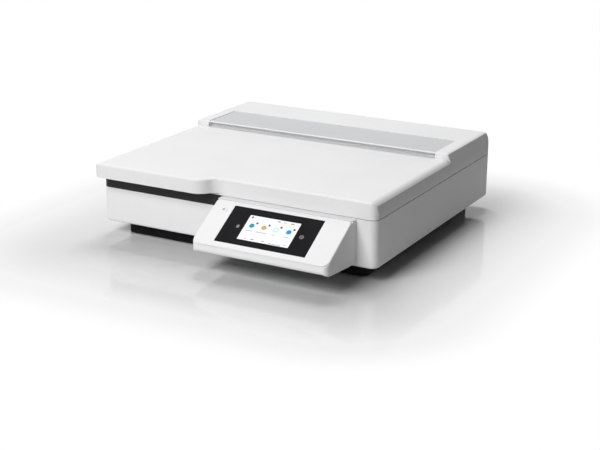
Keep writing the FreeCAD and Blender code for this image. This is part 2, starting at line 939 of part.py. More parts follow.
def lid_ears():
    ears = []
    for side in (-1, 1):
        for hand in (-1, 1):
            middle = side * hinge_spacing / 2
            near = middle + hand * (hinge_width / 2 + hinge_ear_gap)
            far = near + hand * hinge_ear_thickness
            x0 = min(near, far)
            x1 = max(near, far)
            web_front = hinge_y - hinge_knuckle_radius
            web = box(x0, x1, web_front, rear, hinge_z, lid_top).common(leaning_sides(wall / 2))
            ears.append(join(web, rod_x(hinge_knuckle_radius, x0, x1, hinge_y, hinge_z)))
    return ears


def lid_lining():
    side = half_width - wall - seat_gap
    lining = slab(
        outline(-side, side, front + wall + seat_gap, frame_rear, case_corner - wall, wall),
        lining_top - lining_thickness, lining_top,
    )
    hole = lid_screw_radius + running_gap
    return lining.cut([rod_z(hole, seam_height, lining_top + overshoot, x, y) for x, y in lid_screw_places()])


def document_mat():
    half = scan_length / 2 + mat_margin
    bottom = base_top + mat_gap
    mat_front = bed_front - mat_margin
    mat_rear = bed_rear + mat_margin
    return rounded_box(-half, half, mat_front, mat_rear, bottom, bottom + mat_thickness, mat_margin)


def lid_screws():
    seat = lining_top - lining_thickness
    screws = []
    for x, y in lid_screw_places():
        head = rod_z(lid_screw_head_radius, seat - lid_screw_head_height, seat, x, y)
        shank = rod_z(lid_screw_radius, seat, lining_top + lid_screw_length - screw_tip_gap, x, y)
        screws.append(join(head, shank))
    return group(screws)


def hinge_pins():
    reach = hinge_width / 2 + hinge_ear_gap + hinge_ear_thickness
    pins = []
    for side in (-1, 1):
        middle = side * hinge_spacing / 2
        pins.append(rod_x(hinge_pin_radius, middle - reach, middle + reach, hinge_y, hinge_z))
    return group(pins)


def ink_flap():
    half = flap_width / 2
    plate = box(-half, half, hump_front, flap_axis_y, flap_bottom, flap_top)
    front_edges = [e for e in plate.Edges if abs(e.BoundBox.YMax - hump_front) < 1e-6 and e.Length > half]
    plate = plate.makeFillet(flap_thickness / 3, front_edges)
    barrel = rod_x(flap_barrel_radius, -half, half, flap_axis_y, flap_axis_z)
    pin_half = half + flap_pin_length
    pins = rod_x(flap_pin_radius, -pin_half, pin_half, flap_axis_y, flap_axis_z)
    return join(plate, barrel, pins)


export("lid_shell", lid_shell())
export("lid_lining", lid_lining())
export("document_mat", document_mat())
export("lid_screws", lid_screws())
export("hinge_pins", hinge_pins())
export("ink_flap", ink_flap())

# Flatbed scanner
rod_z_scan = pan_floor + scan_rod_lift - pan_wall
scan_belt_y = bed_middle - scan_belt_offset
scan_pulley_bottom = pan_floor + pan_wall
scan_pulley_height = belt_width + 2 * (pulley_flange_thickness + belt_side_gap)
scan_belt_bottom = scan_pulley_bottom + (scan_pulley_height - belt_width) / 2
holder_bottom = pan_bottom + scan_holder_lift
holder_top = holder_bottom + scan_holder_height


def scan_frame():
    side = half_width - wall - seat_gap
    frame = slab(
        outline(-side, side, front + wall + seat_gap, frame_rear, case_corner - wall - seat_gap, wall),
        frame_bottom, base_top,
    )
    half = scan_length / 2
    opening = box(-half, half, bed_front, bed_rear, frame_bottom - overshoot, base_top + overshoot)
    lap = glass_overlap + seat_gap
    rebate = box(
        -half - lap, half + lap, bed_front - lap, bed_rear + lap,
        glass_top - glass_thickness, base_top + overshoot,
    )
    return frame.cut([opening, rebate])


def flatbed_glass():
    half = scan_length / 2 + glass_overlap
    glass_bottom = glass_top - glass_thickness
    return box(-half, half, bed_front - glass_overlap, bed_rear + glass_overlap, glass_bottom, glass_top)


def scan_pan():
    half = pan_half_width
    inner = pan_inner
    pan = rounded_box(-half, half, pan_front, frame_rear, pan_bottom, frame_bottom, case_corner - wall)
    inner_radius = case_corner - wall - pan_wall
    hollow = rounded_box(
        -inner, inner, pan_front + pan_wall, frame_rear - pan_wall,
        pan_floor, frame_bottom + overshoot, inner_radius,
    )
    pan = pan.cut(hollow)
    block_half = scan_bush_width / 2
    blocks = []
    for side in (-1, 1):
        x0 = min(side * inner, side * (inner - rod_block_length))
        block = box(
            x0, x0 + rod_block_length, bed_middle - block_half, bed_middle + block_half,
            pan_floor, pan_floor + rod_block_height,
        )
        blocks.append(block)
    pin_top = scan_pulley_bottom + scan_pulley_height
    idler_pin = rod_z(idler_pin_radius, pan_bottom, pin_top, scan_pulley_x, scan_belt_y)
    pad = rod_z(pulley_radius, pan_bottom, scan_pulley_bottom - fit_gap, scan_pulley_x, scan_belt_y)
    pan = join(pan, idler_pin, pad, *blocks)
    bore = rod_x(scan_rod_radius + running_gap, -inner, inner, bed_middle, rod_z_scan)
    hole_radius = motor_shaft_radius + shaft_hole_gap
    hole_bottom = pan_bottom - overshoot
    shaft_hole = rod_z(hole_radius, hole_bottom, pan_floor + overshoot, -scan_pulley_x, scan_belt_y)
    return pan.cut([bore, shaft_hole])


def scan_rod():
    return rod_x(scan_rod_radius, -pan_inner, pan_inner, bed_middle, rod_z_scan)


def scan_holder():
    half = scan_holder_width / 2
    left = scan_home - half
    right = scan_home + half
    tray_front = bed_front - scan_holder_overhang
    tray_rear = bed_rear + scan_holder_overhang
    tray = box(left, right, tray_front, tray_rear, holder_bottom, holder_top)
    bush_half = scan_bush_width / 2
    bush_bottom = rod_z_scan - scan_bush_depth / 2
    bush = box(left, right, bed_middle - bush_half, bed_middle + bush_half, bush_bottom, holder_bottom)
    run = scan_belt_y + pulley_radius + fit_gap + belt_thickness / 2
    jaw = belt_thickness / 2 + fit_gap + carriage_wall
    clamp_left = scan_home - scan_clamp_length / 2
    clamp_right = scan_home + scan_clamp_length / 2
    clamp_bottom = scan_belt_bottom - carriage_wall
    clamp = box(clamp_left, clamp_right, run - jaw, run + jaw, clamp_bottom, holder_bottom)
    slot_half = belt_thickness / 2 + fit_gap
    slot_top = scan_belt_bottom + belt_width + fit_gap
    slot = box(left, right, run - slot_half, run + slot_half, scan_belt_bottom - fit_gap, slot_top)
    bore = rod_x(scan_rod_radius + running_gap, left - overshoot, right + overshoot, bed_middle, rod_z_scan)
    return join(tray, bush, clamp).cut([slot, bore])


def image_sensor():
    half = sensor_width / 2
    top = holder_top + sensor_height
    bar = box(scan_home - half, scan_home + half, bed_front, bed_rear, holder_top, top)
    lens_half = sensor_lens_width / 2
    lens_front = bed_front + sensor_lens_margin
    lens_rear = bed_rear - sensor_lens_margin
    lens_floor = top - sensor_lens_depth
    lens_left = scan_home - lens_half
    lens_right = scan_home + lens_half
    lens = box(lens_left, lens_right, lens_front, lens_rear, lens_floor, top + overshoot)
    return bar.cut(lens)


def scan_belt():
    circles = [(-scan_pulley_x, scan_belt_y, pulley_radius), (scan_pulley_x, scan_belt_y, pulley_radius)]
    loop = belt_loop(circles, belt_thickness, fit_gap)
    loop.translate(Vector(0, 0, scan_belt_bottom))
    return loop.extrude(Vector(0, 0, belt_width))


def scan_drive_pulley():
    pulley = flat_pulley(pulley_radius, scan_pulley_height)
    pulley.translate(Vector(-scan_pulley_x, scan_belt_y, scan_pulley_bottom))
    shaft_bottom = pan_bottom - scan_motor_height + wall
    shaft = rod_z(motor_shaft_radius, shaft_bottom, scan_pulley_bottom, -scan_pulley_x, scan_belt_y)
    return join(pulley, shaft)


def scan_idler_pulley():
    pulley = flat_pulley(pulley_radius, scan_pulley_height)
    hole = idler_pin_radius + running_gap
    pulley = pulley.cut(rod_z(hole, -overshoot, scan_pulley_height + overshoot, 0, 0))
    pulley.translate(Vector(scan_pulley_x, scan_belt_y, scan_pulley_bottom))
    return pulley


def scan_motor():
    x = -scan_pulley_x
    can = rod_z(scan_motor_radius, pan_bottom - scan_motor_height, pan_bottom, x, scan_belt_y)
    bore_bottom = pan_bottom - scan_motor_height + wall - fit_gap
    bore_radius = motor_shaft_radius + running_gap
    return can.cut(rod_z(bore_radius, bore_bottom, pan_bottom + overshoot, x, scan_belt_y))


export("scan_frame", scan_frame())
export("flatbed_glass", flatbed_glass())
export("scan_pan", scan_pan())
export("scan_rod", scan_rod())
export("scan_holder", scan_holder())
export("image_sensor", image_sensor())
export("scan_belt", scan_belt())
export("scan_drive_pulley", scan_drive_pulley())
export("scan_idler_pulley", scan_idler_pulley())
export("scan_motor", scan_motor())

# Print carriage on its rod
pulley_front = carriage_belt_y - pulley_flange_thickness - belt_side_gap
carriage_pulley_height = belt_width + 2 * (pulley_flange_thickness + belt_side_gap)
belt_run_z = carriage_belt_z - pulley_radius - fit_gap - belt_thickness / 2
reader_bottom = carriage_rod_z + bush_half_height
reader_middle = carriage_rear + reader_depth
strip_bottom = reader_bottom + reader_height / 2


def across(shape, x, y, z):
    # Turn a piece made about Z so that it points along +Y, and place it.
    shape.rotate(Vector(0, 0, 0), Vector(1, 0, 0), -90)
    shape.translate(Vector(x, y, z))
    return shape


def print_chassis():
    outer = chassis_half_width
    inner = chassis_inner
    back_face = chassis_rear_face
    back = box(-outer, outer, chassis_back, back_face, chassis_back_bottom, chassis_top)
    plates = []
    for x0 in (-outer, inner):
        plates.append(box(x0, x0 + chassis_thickness, chassis_front, back_face, floor_top, chassis_top))
    pin_front = pulley_front - idler_pin_end
    idler_pin = rod_y(idler_pin_radius, pin_front, back_face, -carriage_pulley_x, carriage_belt_z)
    frame = join(back, idler_pin, *plates)
    rod_hole = carriage_rod_radius + running_gap
    cuts = [rod_x(rod_hole, -outer - overshoot, outer + overshoot, carriage_rod_y, carriage_rod_z)]
    shaft_hole = motor_shaft_radius + shaft_hole_gap
    before = chassis_back - overshoot
    behind = back_face + overshoot
    cuts.append(rod_y(shaft_hole, before, behind, carriage_pulley_x, carriage_belt_z))
    for radius, y, z in ((feed_shaft_radius, feed_y, feed_z), (exit_shaft_radius, exit_y, exit_z)):
        cuts.append(rod_x(radius + running_gap, inner - overshoot, outer + overshoot, y, z))
    path_top = sheet_plane + cheek_rise
    cuts.append(box(cheek_left - fit_gap, cheek_right + fit_gap, before, behind, floor_top, path_top))
    return frame.cut(cuts)


def carriage_rod():
    reach = chassis_half_width
    return rod_x(carriage_rod_radius, -reach, reach, carriage_rod_y, carriage_rod_z)


def carriage_body():
    left = carriage_left
    right = carriage_right
    tray = box(left, right, carriage_front, carriage_rear, carriage_bottom, carriage_top)
    well = box(
        left + carriage_wall, right - carriage_wall,
        carriage_front + carriage_wall, carriage_rear - carriage_wall,
        carriage_floor, carriage_top + overshoot,
    )
    bush = box(
        left, right, carriage_rear, bush_rear,
        carriage_rod_z - bush_half_height, carriage_rod_z + bush_half_height,
    )
    reader_left = carriage_home - reader_depth
    reader_right = carriage_home + reader_depth
    reader_rear = carriage_rear + 2 * reader_depth
    reader = box(
        reader_left, reader_right, carriage_rear, reader_rear, reader_bottom, reader_bottom + reader_height,
    )
    half_slot = reader_slot / 2
    slot = box(
        left, right, reader_middle - half_slot, reader_middle + half_slot,
        strip_bottom - half_slot, reader_bottom + reader_height + overshoot,
    )
    clamp_left = carriage_home - carriage_clamp_length / 2
    clamp_right = carriage_home + carriage_clamp_length / 2
    jaw = belt_thickness / 2 + fit_gap + carriage_wall
    clamp_rear = carriage_belt_y + belt_width + carriage_wall / 2
    clamp = box(clamp_left, clamp_right, bush_rear, clamp_rear, belt_run_z - jaw, belt_run_z + jaw)
    gap = belt_thickness / 2 + fit_gap
    belt_slot = box(
        clamp_left - overshoot, clamp_right + overshoot, carriage_belt_y - fit_gap, clamp_rear + overshoot,
        belt_run_z - gap, belt_run_z + gap,
    )
    bore_radius = carriage_rod_radius + running_gap
    bore = rod_x(bore_radius, left - overshoot, right + overshoot, carriage_rod_y, carriage_rod_z)
    return join(tray, bush, reader, clamp).cut([well, slot, belt_slot, bore, print_head()])


def print_head():
    half_x = head_width / 2
    half_y = head_depth / 2
    return box(
        carriage_home - half_x, carriage_home + half_x, carriage_middle - half_y, carriage_middle + half_y,
        sheet_plane + head_gap, head_top,
    )


def ink_cartridge(place):
    room = carriage_width - 2 * carriage_wall
    pitch = room / cartridge_count
    left = carriage_home - room / 2 + place * pitch + cartridge_gap / 2
    right = left + pitch - cartridge_gap
    tank_front = carriage_front + carriage_wall + cartridge_gap
    tank_rear = carriage_rear - carriage_wall - cartridge_gap
    tank = box(left, right, tank_front, tank_rear, carriage_floor, cartridge_top)
    tab_rear = tank_front + (tank_rear - tank_front) / 4
    step_floor = cartridge_top - cartridge_step
    shoulder = box(
        left - overshoot, right + overshoot, tab_rear, tank_rear + overshoot,
        step_floor, cartridge_top + overshoot,
    )
    return tank.cut(shoulder)


def encoder_strip():
    half = strip_thickness / 2
    strip_top = strip_bottom + strip_height
    strip_front = reader_middle - half
    strip_rear = reader_middle + half
    return box(-chassis_inner, chassis_inner, strip_front, strip_rear, strip_bottom, strip_top)


def carriage_belt():
    circles = [(-carriage_pulley_x, 0, pulley_radius), (carriage_pulley_x, 0, pulley_radius)]
    loop = belt_loop(circles, belt_thickness, fit_gap).extrude(Vector(0, 0, belt_width))
    return across(loop, 0, carriage_belt_y, carriage_belt_z)


def carriage_drive_pulley():
    pulley = flat_pulley(pulley_radius, carriage_pulley_height)
    shaft_top = chassis_rear_face + carriage_motor_length - wall - pulley_front
    shaft = rod_z(motor_shaft_radius, 0, shaft_top, 0, 0)
    return across(join(pulley, shaft), carriage_pulley_x, pulley_front, carriage_belt_z)


def carriage_idler_pulley():
    pulley = flat_pulley(pulley_radius, carriage_pulley_height)
    hole = idler_pin_radius + running_gap
    pulley = pulley.cut(rod_z(hole, -overshoot, carriage_pulley_height + overshoot, 0, 0))
    return across(pulley, -carriage_pulley_x, pulley_front, carriage_belt_z)


def carriage_motor():
    face = chassis_rear_face
    back = face + carriage_motor_length
    can = rod_y(carriage_motor_radius, face, back, carriage_pulley_x, carriage_belt_z)
    bore_end = back - wall + fit_gap
    hole = motor_shaft_radius + running_gap
    bore = rod_y(hole, face - overshoot, bore_end, carriage_pulley_x, carriage_belt_z)
    return can.cut(bore)


export("print_chassis", print_chassis())
export("carriage_rod", carriage_rod())
export("carriage_body", carriage_body())
export("print_head", print_head())
for place, ink in enumerate(("black", "cyan", "magenta", "yellow")):
    export("ink_" + ink, ink_cartridge(place))
export("encoder_strip", encoder_strip())
export("carriage_belt", carriage_belt())
export("carriage_drive_pulley", carriage_drive_pulley())
export("carriage_idler_pulley", carriage_idler_pulley())
export("carriage_motor", carriage_motor())

# Sheet feed
drive_pulley_width = chassis_inner - fit_gap - drive_pulley_x
roller_pitch = sheet_width / roller_count
roller_places = [sheet_middle + (i - (roller_count - 1) / 2) * roller_pitch for i in range(roller_count)]


def platen():
    top = sheet_plane - platen_rib_height
    plate_front = exit_y + exit_radius + roller_clearance
    plate_rear = feed_y - feed_radius - roller_clearance
    bottom = top - platen_thickness
    plate = box(sheet_left, sheet_right, plate_front, plate_rear, bottom, top)
    guide_front = feed_y + feed_radius + roller_clearance
    guide = box(sheet_left, sheet_right, guide_front, inner_rear - door_block_depth, bottom, top)
    ribs = []
    rib_pitch = sheet_width / (platen_rib_count - 1)
    for i in range(platen_rib_count):
        x0 = sheet_middle - sheet_width / 2 + i * rib_pitch - platen_rib_width / 2
        ribs.append(box(x0, x0 + platen_rib_width, plate_front, plate_rear, top, sheet_plane))
    cheeks = []
    cheek_front = exit_y - exit_radius
    for x0 in (cheek_left, sheet_right):
        x1 = x0 + cheek_thickness
        cheeks.append(box(x0, x1, cheek_front, inner_rear - door_block_depth, floor_top, sheet_plane))
        for y, half in ((exit_y, exit_radius), (feed_y, feed_radius)):
            cheeks.append(box(x0, x1, y - half, y + half, sheet_plane, sheet_plane + cheek_rise))
    frame = join(plate, guide, *(ribs + cheeks))
    cuts = []
    for radius, y, z in (
        (feed_shaft_radius, feed_y, feed_z),
        (exit_shaft_radius, exit_y, exit_z),
        (pinch_shaft_radius, feed_y, pinch_z),
        (star_shaft_radius, exit_y, star_z),
    ):
        cuts.append(rod_x(radius + running_gap, cheek_left - overshoot, cheek_right + overshoot, y, z))
    return frame.cut(cuts)


def feed_roller():
    drum = rod_x(feed_radius, sheet_left + fit_gap, sheet_right - fit_gap, feed_y, feed_z)
    shaft = rod_x(feed_shaft_radius, cheek_left, chassis_half_width, feed_y, feed_z)
    return join(drum, shaft)


def drive_pulley(radius, bore, y, z):
    wheel = rod_x(radius, drive_pulley_x, drive_pulley_x + drive_pulley_width, y, z)
    return wheel.cut(rod_x(bore, drive_pulley_x - overshoot, chassis_half_width, y, z))


def exit_shaft():
    return rod_x(exit_shaft_radius, cheek_left, chassis_half_width, exit_y, exit_z)


def exit_tyres():
    tyres = []
    for x in roller_places:
        tyre = rod_x(exit_radius, x - exit_tyre_length / 2, x + exit_tyre_length / 2, exit_y, exit_z)
        tyres.append(tyre.cut(rod_x(exit_shaft_radius, sheet_left, sheet_right, exit_y, exit_z)))
    tyres.append(drive_pulley(exit_pulley_radius, exit_shaft_radius, exit_y, exit_z))
    return group(tyres)


def pinch_rollers():
    shaft = rod_x(pinch_shaft_radius, cheek_left, cheek_right, feed_y, pinch_z)
    half = pinch_length / 2
    rolls = [rod_x(pinch_radius, x - half, x + half, feed_y, pinch_z) for x in roller_places]
    return join(shaft, *rolls)


def star_wheels():
    shaft = rod_x(star_shaft_radius, cheek_left, cheek_right, exit_y, star_z)
    half = star_thickness / 2
    wheels = [rod_x(star_radius, x - half, x + half, exit_y, star_z) for x in roller_places]
    return join(shaft, *wheels)


def feed_motor():
    x0 = cheek_right
    x1 = drive_pulley_x - motor_pulley_gap
    can = rod_x(feed_motor_radius, x0, x1, feed_motor_y, feed_motor_z)
    bore = rod_x(motor_shaft_radius + running_gap, x0 + wall, x1 + overshoot, feed_motor_y, feed_motor_z)
    return can.cut(bore)


def motor_pulley():
    shaft_start = cheek_right + wall + fit_gap
    wheel = rod_x(
        motor_pulley_radius, drive_pulley_x, drive_pulley_x + drive_pulley_width, feed_motor_y, feed_motor_z,
    )
    return join(wheel, rod_x(motor_shaft_radius, shaft_start, drive_pulley_x, feed_motor_y, feed_motor_z))


def feed_belt():
    circles = [
        (feed_motor_y, feed_motor_z, motor_pulley_radius),
        (feed_y, feed_z, feed_pulley_radius),
        (exit_y, exit_z, exit_pulley_radius),
    ]
    loop = belt_loop(circles, belt_thickness, fit_gap).extrude(Vector(0, 0, belt_width))
    loop.rotate(Vector(0, 0, 0), Vector(1, 1, 1), 120)
    loop.translate(Vector(drive_pulley_x + (drive_pulley_width - belt_width) / 2, 0, 0))
    return loop


def paper_guide():
    lead = front + wall + fit_gap
    lead_height = guide_front_height
    top = [(guide_rear, guide_rear_height), (lead, lead_height)]
    under = [(lead, lead_height - guide_thickness), (guide_rear, guide_rear_height - guide_thickness)]
    plate = prism_x(top + under, sheet_left, sheet_right)
    legs = []
    for x0 in (sheet_left, sheet_right - cheek_thickness):
        foot = [(lead, floor_top), (guide_rear, floor_top)]
        legs.append(prism_x(top + foot, x0, x0 + cheek_thickness))
    return join(plate, *legs)


def capping_station():
    middle = carriage_middle
    half_x = cap_width / 2
    half_y = cap_depth / 2
    bottom = floor_top + pad_height
    top = sheet_plane + head_gap - cap_gap
    block = box(
        carriage_home - half_x, carriage_home + half_x,
        middle - half_y, middle + half_y, bottom, top - cap_lip,
    )
    lip_x = head_width / 2
    lip_y = head_depth / 2
    lip_left = carriage_home - lip_x
    lip_right = carriage_home + lip_x
    lip = box(lip_left, lip_right, middle - lip_y, middle + lip_y, top - cap_lip, top)
    well = box(
        lip_left + cap_lip, lip_right - cap_lip,
        middle - lip_y + cap_lip, middle + lip_y - cap_lip, top - cap_lip, top + overshoot,
    )
    return join(block, lip).cut(well)


def waste_ink_pad():
    half_y = cap_depth / 2 + cap_lip
    middle = carriage_middle
    left = carriage_home - cap_width / 2 - cap_lip
    right = cheek_left - pad_sheet_gap
    return box(left, right, middle - half_y, middle + half_y, floor_top, floor_top + pad_height)


export("platen", platen())
export("feed_roller", feed_roller())
export("feed_pulley", drive_pulley(feed_pulley_radius, feed_shaft_radius, feed_y, feed_z))
export("exit_shaft", exit_shaft())
export("exit_tyres", exit_tyres())
export("pinch_rollers", pinch_rollers())
export("star_wheels", star_wheels())
export("feed_motor", feed_motor())
export("motor_pulley", motor_pulley())
export("feed_belt", feed_belt())
export("paper_guide", paper_guide())
export("capping_station", capping_station())
export("waste_ink_pad", waste_ink_pad())


# Rear feed door
def rear_door():
    left = sheet_left + door_gap
    right = sheet_right - door_gap
    plate = box(left, right, rear - door_thickness, rear, door_bottom + door_gap * 2, door_top - door_gap)
    reach = door_pin_length
    pins = rod_x(door_pin_radius, left - reach, right + reach, door_pin_y, door_pin_z)
    return join(plate, pins)


export("rear_door", rear_door())

# Control panel: a wedge over the paper outlet
slope_angle = math.radians(panel_tilt)
face_foot_y = panel_top_y - panel_slope * math.cos(slope_angle)
face_foot_z = panel_top_z - panel_slope * math.sin(slope_angle)
sink_y = panel_face_thickness * math.sin(slope_angle)
sink_z = -panel_face_thickness * math.cos(slope_angle)


def wedge(inset, x0, x1):
    # Side outline of the housing under its face plate; the inner one is open below and behind.
    down = inset / math.cos(slope_angle)
    lead = face_foot_y + inset
    under_top = (panel_top_y + sink_y, panel_top_z + sink_z - down)
    under_foot = (face_foot_y + sink_y + inset, face_foot_z + sink_z - down + inset * math.tan(slope_angle))
    if inset:
        inside = front + overshoot
        base_line = [(inside, plinth_height), (lead, plinth_height), (lead, panel_front_bottom)]
        ridge = [under_foot, under_top, (inside, under_top[1])]
    else:
        base_line = [
            (front, panel_rear_bottom), (front - panel_knee, panel_rear_bottom),
            (lead, panel_front_bottom),
        ]
        ridge = [under_foot, under_top, (panel_top_y, panel_top_z), (front, panel_top_z)]
    return prism_x(base_line + ridge, x0, x1)


def panel_plan(inset):
    # Upright limits of the housing, with both front corners rounded as the face's are.
    corner = panel_corner * math.cos(slope_angle)
    x0 = panel_left + inset
    x1 = panel_right - inset
    inside = front + 2 * corner
    edges = outline(x0, x1, face_foot_y + inset, inside, corner - inset, corner - inset)
    return slab(edges, 0, panel_top_z + overshoot)


def panel_housing():
    housing = wedge(0, panel_left, panel_right)
    lowest = panel_front_bottom + 1e-4
    foremost = face_foot_y + 1e-4
    nose = [e for e in housing.Edges if e.BoundBox.YMax < foremost and e.BoundBox.ZMax < lowest]
    housing = housing.makeFillet(panel_lip, nose)
    housing = housing.common(panel_plan(0))
    cavity = wedge(wall, panel_left + wall, panel_right - wall).common(panel_plan(wall))
    rim = window_overlap * 2
    opening = box(
        window_left + rim, window_left + window_width - rim,
        -window_top - window_height + rim, -window_top - rim, -panel_board_gap * 2, overshoot,
    )
    stem_room = rod_z(button_radius, -panel_board_gap * 2, overshoot, button_x, -button_slope)
    return housing.cut([cavity, on_panel(opening), on_panel(stem_room)])


def panel_face():
    edges = outline(panel_left, panel_right, -panel_slope, 0, panel_corner, panel_corner / 2)
    plate = slab(edges, -panel_face_thickness, 0)
    plate = soften(plate, 0, panel_edge_round)
    plate = plate.makeChamfer(panel_seam_bevel, level_edges(plate, -panel_face_thickness))
    glass = box(
        window_left - seat_gap, window_left + window_width + seat_gap,
        -window_top - window_height - seat_gap, -window_top + seat_gap, -window_thickness, overshoot,
    )
    lap = window_overlap
    through = box(
        window_left + lap, window_left + window_width - lap,
        -window_top - window_height + lap, -window_top - lap, -panel_face_thickness - overshoot, overshoot,
    )
    below = -panel_face_thickness - overshoot
    hole = rod_z(button_radius + fit_gap, below, overshoot, button_x, -button_slope)
    return on_panel(plate.cut([glass, through, hole]))


def panel_glass():
    low = -window_top - window_height
    glass = box(window_left, window_left + window_width, low, -window_top, -window_thickness, 0)
    return on_panel(glass)


def display():
    left = display_left - display_margin
    right = display_left + display_width + display_margin
    low = -display_top - display_height - display_margin
    high = -display_top + display_margin
    top = -window_thickness
    return on_panel(box(left, right, low, high, top - display_thickness, top))


def panel_board():
    inset = window_overlap * 2 + panel_board_margin
    left = window_left + inset
    right = window_left + window_width - inset
    low = -window_top - window_height + inset
    high = -window_top - inset
    top = -panel_board_gap
    board = box(left, right, low, high, top - panel_board_thickness, top)
    pillars = []
    for x in (left + panel_boss_radius, right - panel_boss_radius):
        for y in (low + panel_boss_radius, high - panel_boss_radius):
            pillars.append(rod_z(panel_boss_radius, top, -window_thickness, x, y))
    return on_panel(join(board, *pillars))


def power_button():
    travel_room = button_travel + fit_gap
    top = button_proud
    cap = rod_z(button_radius, -panel_face_thickness + travel_room, top, button_x, -button_slope)
    cap = soften(cap, top, button_proud)
    stem_top = -panel_face_thickness + travel_room
    stem = rod_z(button_radius / 2, -panel_board_gap, stem_top, button_x, -button_slope)
    return on_panel(join(cap, stem))


export("panel_housing", panel_housing())
export("panel_face", panel_face())
export("panel_glass", panel_glass())
export("display", display())
export("panel_board", panel_board())
export("power_button", power_button())


# Electronics
def mainboard():
    top = board_bottom + board_thickness
    board = box(board_left, board_right, board_front, board_back, board_bottom, top)
    middle_x = (board_left + board_right) / 2
    middle_y = (board_front + board_back) / 2
    half = board_chip_size / 2
    chip_top = top + board_chip_height
    chip = box(middle_x - half, middle_x + half, middle_y - half, middle_y + half, top, chip_top)
    pieces = [board, chip]
    row_pitch = (board_back - board_front) / (board_connector_count + 1)
    connector_left = board_right - 2 * board_connector_width
    for row in range(board_connector_count):
        y = board_front + row_pitch * (row + 1)
        capacitor_x = board_left + 2 * post_edge + post_radius
        pieces.append(rod_z(post_radius, top, top + board_lift, capacitor_x, y))
        y0 = y - board_connector_length / 2
        y1 = y + board_connector_length / 2
        x1 = connector_left + board_connector_width
        pieces.append(box(connector_left, x1, y0, y1, top, top + board_connector_height))
    return group(pieces)


def port_board():
    board_front_edge = port_board_rear - port_board_depth
    board = box(
        port_board_left, port_board_right, board_front_edge, port_board_rear, port_board_bottom, port_floor,
    )
    pieces = [board]
    for left, width, height in ((usb_left, usb_width, usb_height), (lan_left, lan_width, lan_height)):
        x0 = left + seat_gap
        x1 = left + width - seat_gap
        z1 = port_floor + height - seat_gap
        socket = box(x0, x1, rear - port_depth, rear, port_floor, z1)
        mouth = box(
            x0 + port_wall, x1 - port_wall, rear - port_depth + port_wall, rear + overshoot,
            port_floor + port_wall, z1 - port_wall,
        )
        pieces.append(socket.cut(mouth))
    return group(pieces)


def power_supply():
    face = chassis_rear_face + wall
    back = rear - inlet_depth - supply_gap
    supply = box(supply_left, supply_right, face, back, floor_top, floor_top + supply_height)
    upright = [e for e in supply.Edges if abs(e.BoundBox.ZLength - supply_height) < 1e-4]
    return supply.makeFillet(wall, upright)


def power_inlet():
    left = inlet_x - inlet_width / 2 + seat_gap
    right = inlet_x + inlet_width / 2 - seat_gap
    bottom = inlet_bottom + seat_gap
    top = inlet_bottom + inlet_height - seat_gap
    body = box(left, right, rear - inlet_depth, rear, bottom, top)
    mouth = box(
        left + inlet_wall, right - inlet_wall, rear - inlet_depth + inlet_wall, rear + overshoot,
        bottom + inlet_wall, top - inlet_wall,
    )
    body = body.cut(mouth)
    middle_z = (bottom + top) / 2
    root = rear - inlet_depth + inlet_wall
    tip = rear - inlet_wall * 2
    blades = []
    for step in (-1, 0, 1):
        x0 = inlet_x + step * blade_pitch - blade_width / 2
        z0 = middle_z - blade_height / 2
        blades.append(box(x0, x0 + blade_width, root, tip, z0, z0 + blade_height))
    return group([body] + blades)


export("mainboard", mainboard())
export("port_board", port_board())
export("power_supply", power_supply())
export("power_inlet", power_inlet())
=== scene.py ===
import json
import math

import bmesh
import bpy
from mathutils import Matrix, Vector


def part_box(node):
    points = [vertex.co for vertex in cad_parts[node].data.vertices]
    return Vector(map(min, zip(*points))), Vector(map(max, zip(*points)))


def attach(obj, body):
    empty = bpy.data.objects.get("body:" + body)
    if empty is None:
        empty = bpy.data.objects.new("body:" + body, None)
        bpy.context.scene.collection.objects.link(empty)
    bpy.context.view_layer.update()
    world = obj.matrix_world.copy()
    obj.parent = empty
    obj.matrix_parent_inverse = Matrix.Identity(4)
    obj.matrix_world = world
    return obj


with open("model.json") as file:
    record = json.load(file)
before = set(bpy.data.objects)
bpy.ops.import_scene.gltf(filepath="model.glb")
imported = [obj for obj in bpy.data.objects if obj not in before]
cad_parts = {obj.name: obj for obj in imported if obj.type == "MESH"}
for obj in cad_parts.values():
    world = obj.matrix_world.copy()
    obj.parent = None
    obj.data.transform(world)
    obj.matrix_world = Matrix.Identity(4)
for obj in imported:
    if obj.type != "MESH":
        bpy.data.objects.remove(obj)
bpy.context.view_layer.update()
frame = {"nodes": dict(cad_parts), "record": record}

# Metres, in the part's own frame: X to the right, Y to the back, Z up
MM = 0.001

# Control panel: slope and cover glass as in the solids, and the layers printed on them
PANEL_TILT = math.radians(31.0)
GLASS_THICKNESS = 2.0 * MM
PRINT_HEIGHT = 0.06 * MM
PRINT_LIFT = 0.02 * MM

# Start page of the display, in millimetres from the cover glass's upper left corner
PAGE_LEFT = 38.3
PAGE_TOP = 14.8
PAGE_WIDTH = 97.6
PAGE_HEIGHT = 54.6
PAGE_CORNER = 1.0
SMALL_CORNER = 0.5

# Status strip, in millimetres from the page's upper left corner
STRIP_INSET = 1.0
STRIP_HEIGHT = 7.0
STRIP_CORNER = 0.8
STATUS_HOME_STEP = 6.0
STATUS_HOME_DROP = 4.1
STATUS_HOME_RADIUS = 2.0
STATUS_STEPS = (54.0, 80.0)
STATUS_DROP = 3.2
STATUS_WIDTH = 6.0
STATUS_HEIGHT = 1.9
STATUS_CORNER = 0.6
CLOCK_STEP = 66.0
CLOCK_DROP = 3.4
CLOCK_WIDTH = 6.0
CLOCK_HEIGHT = 1.5

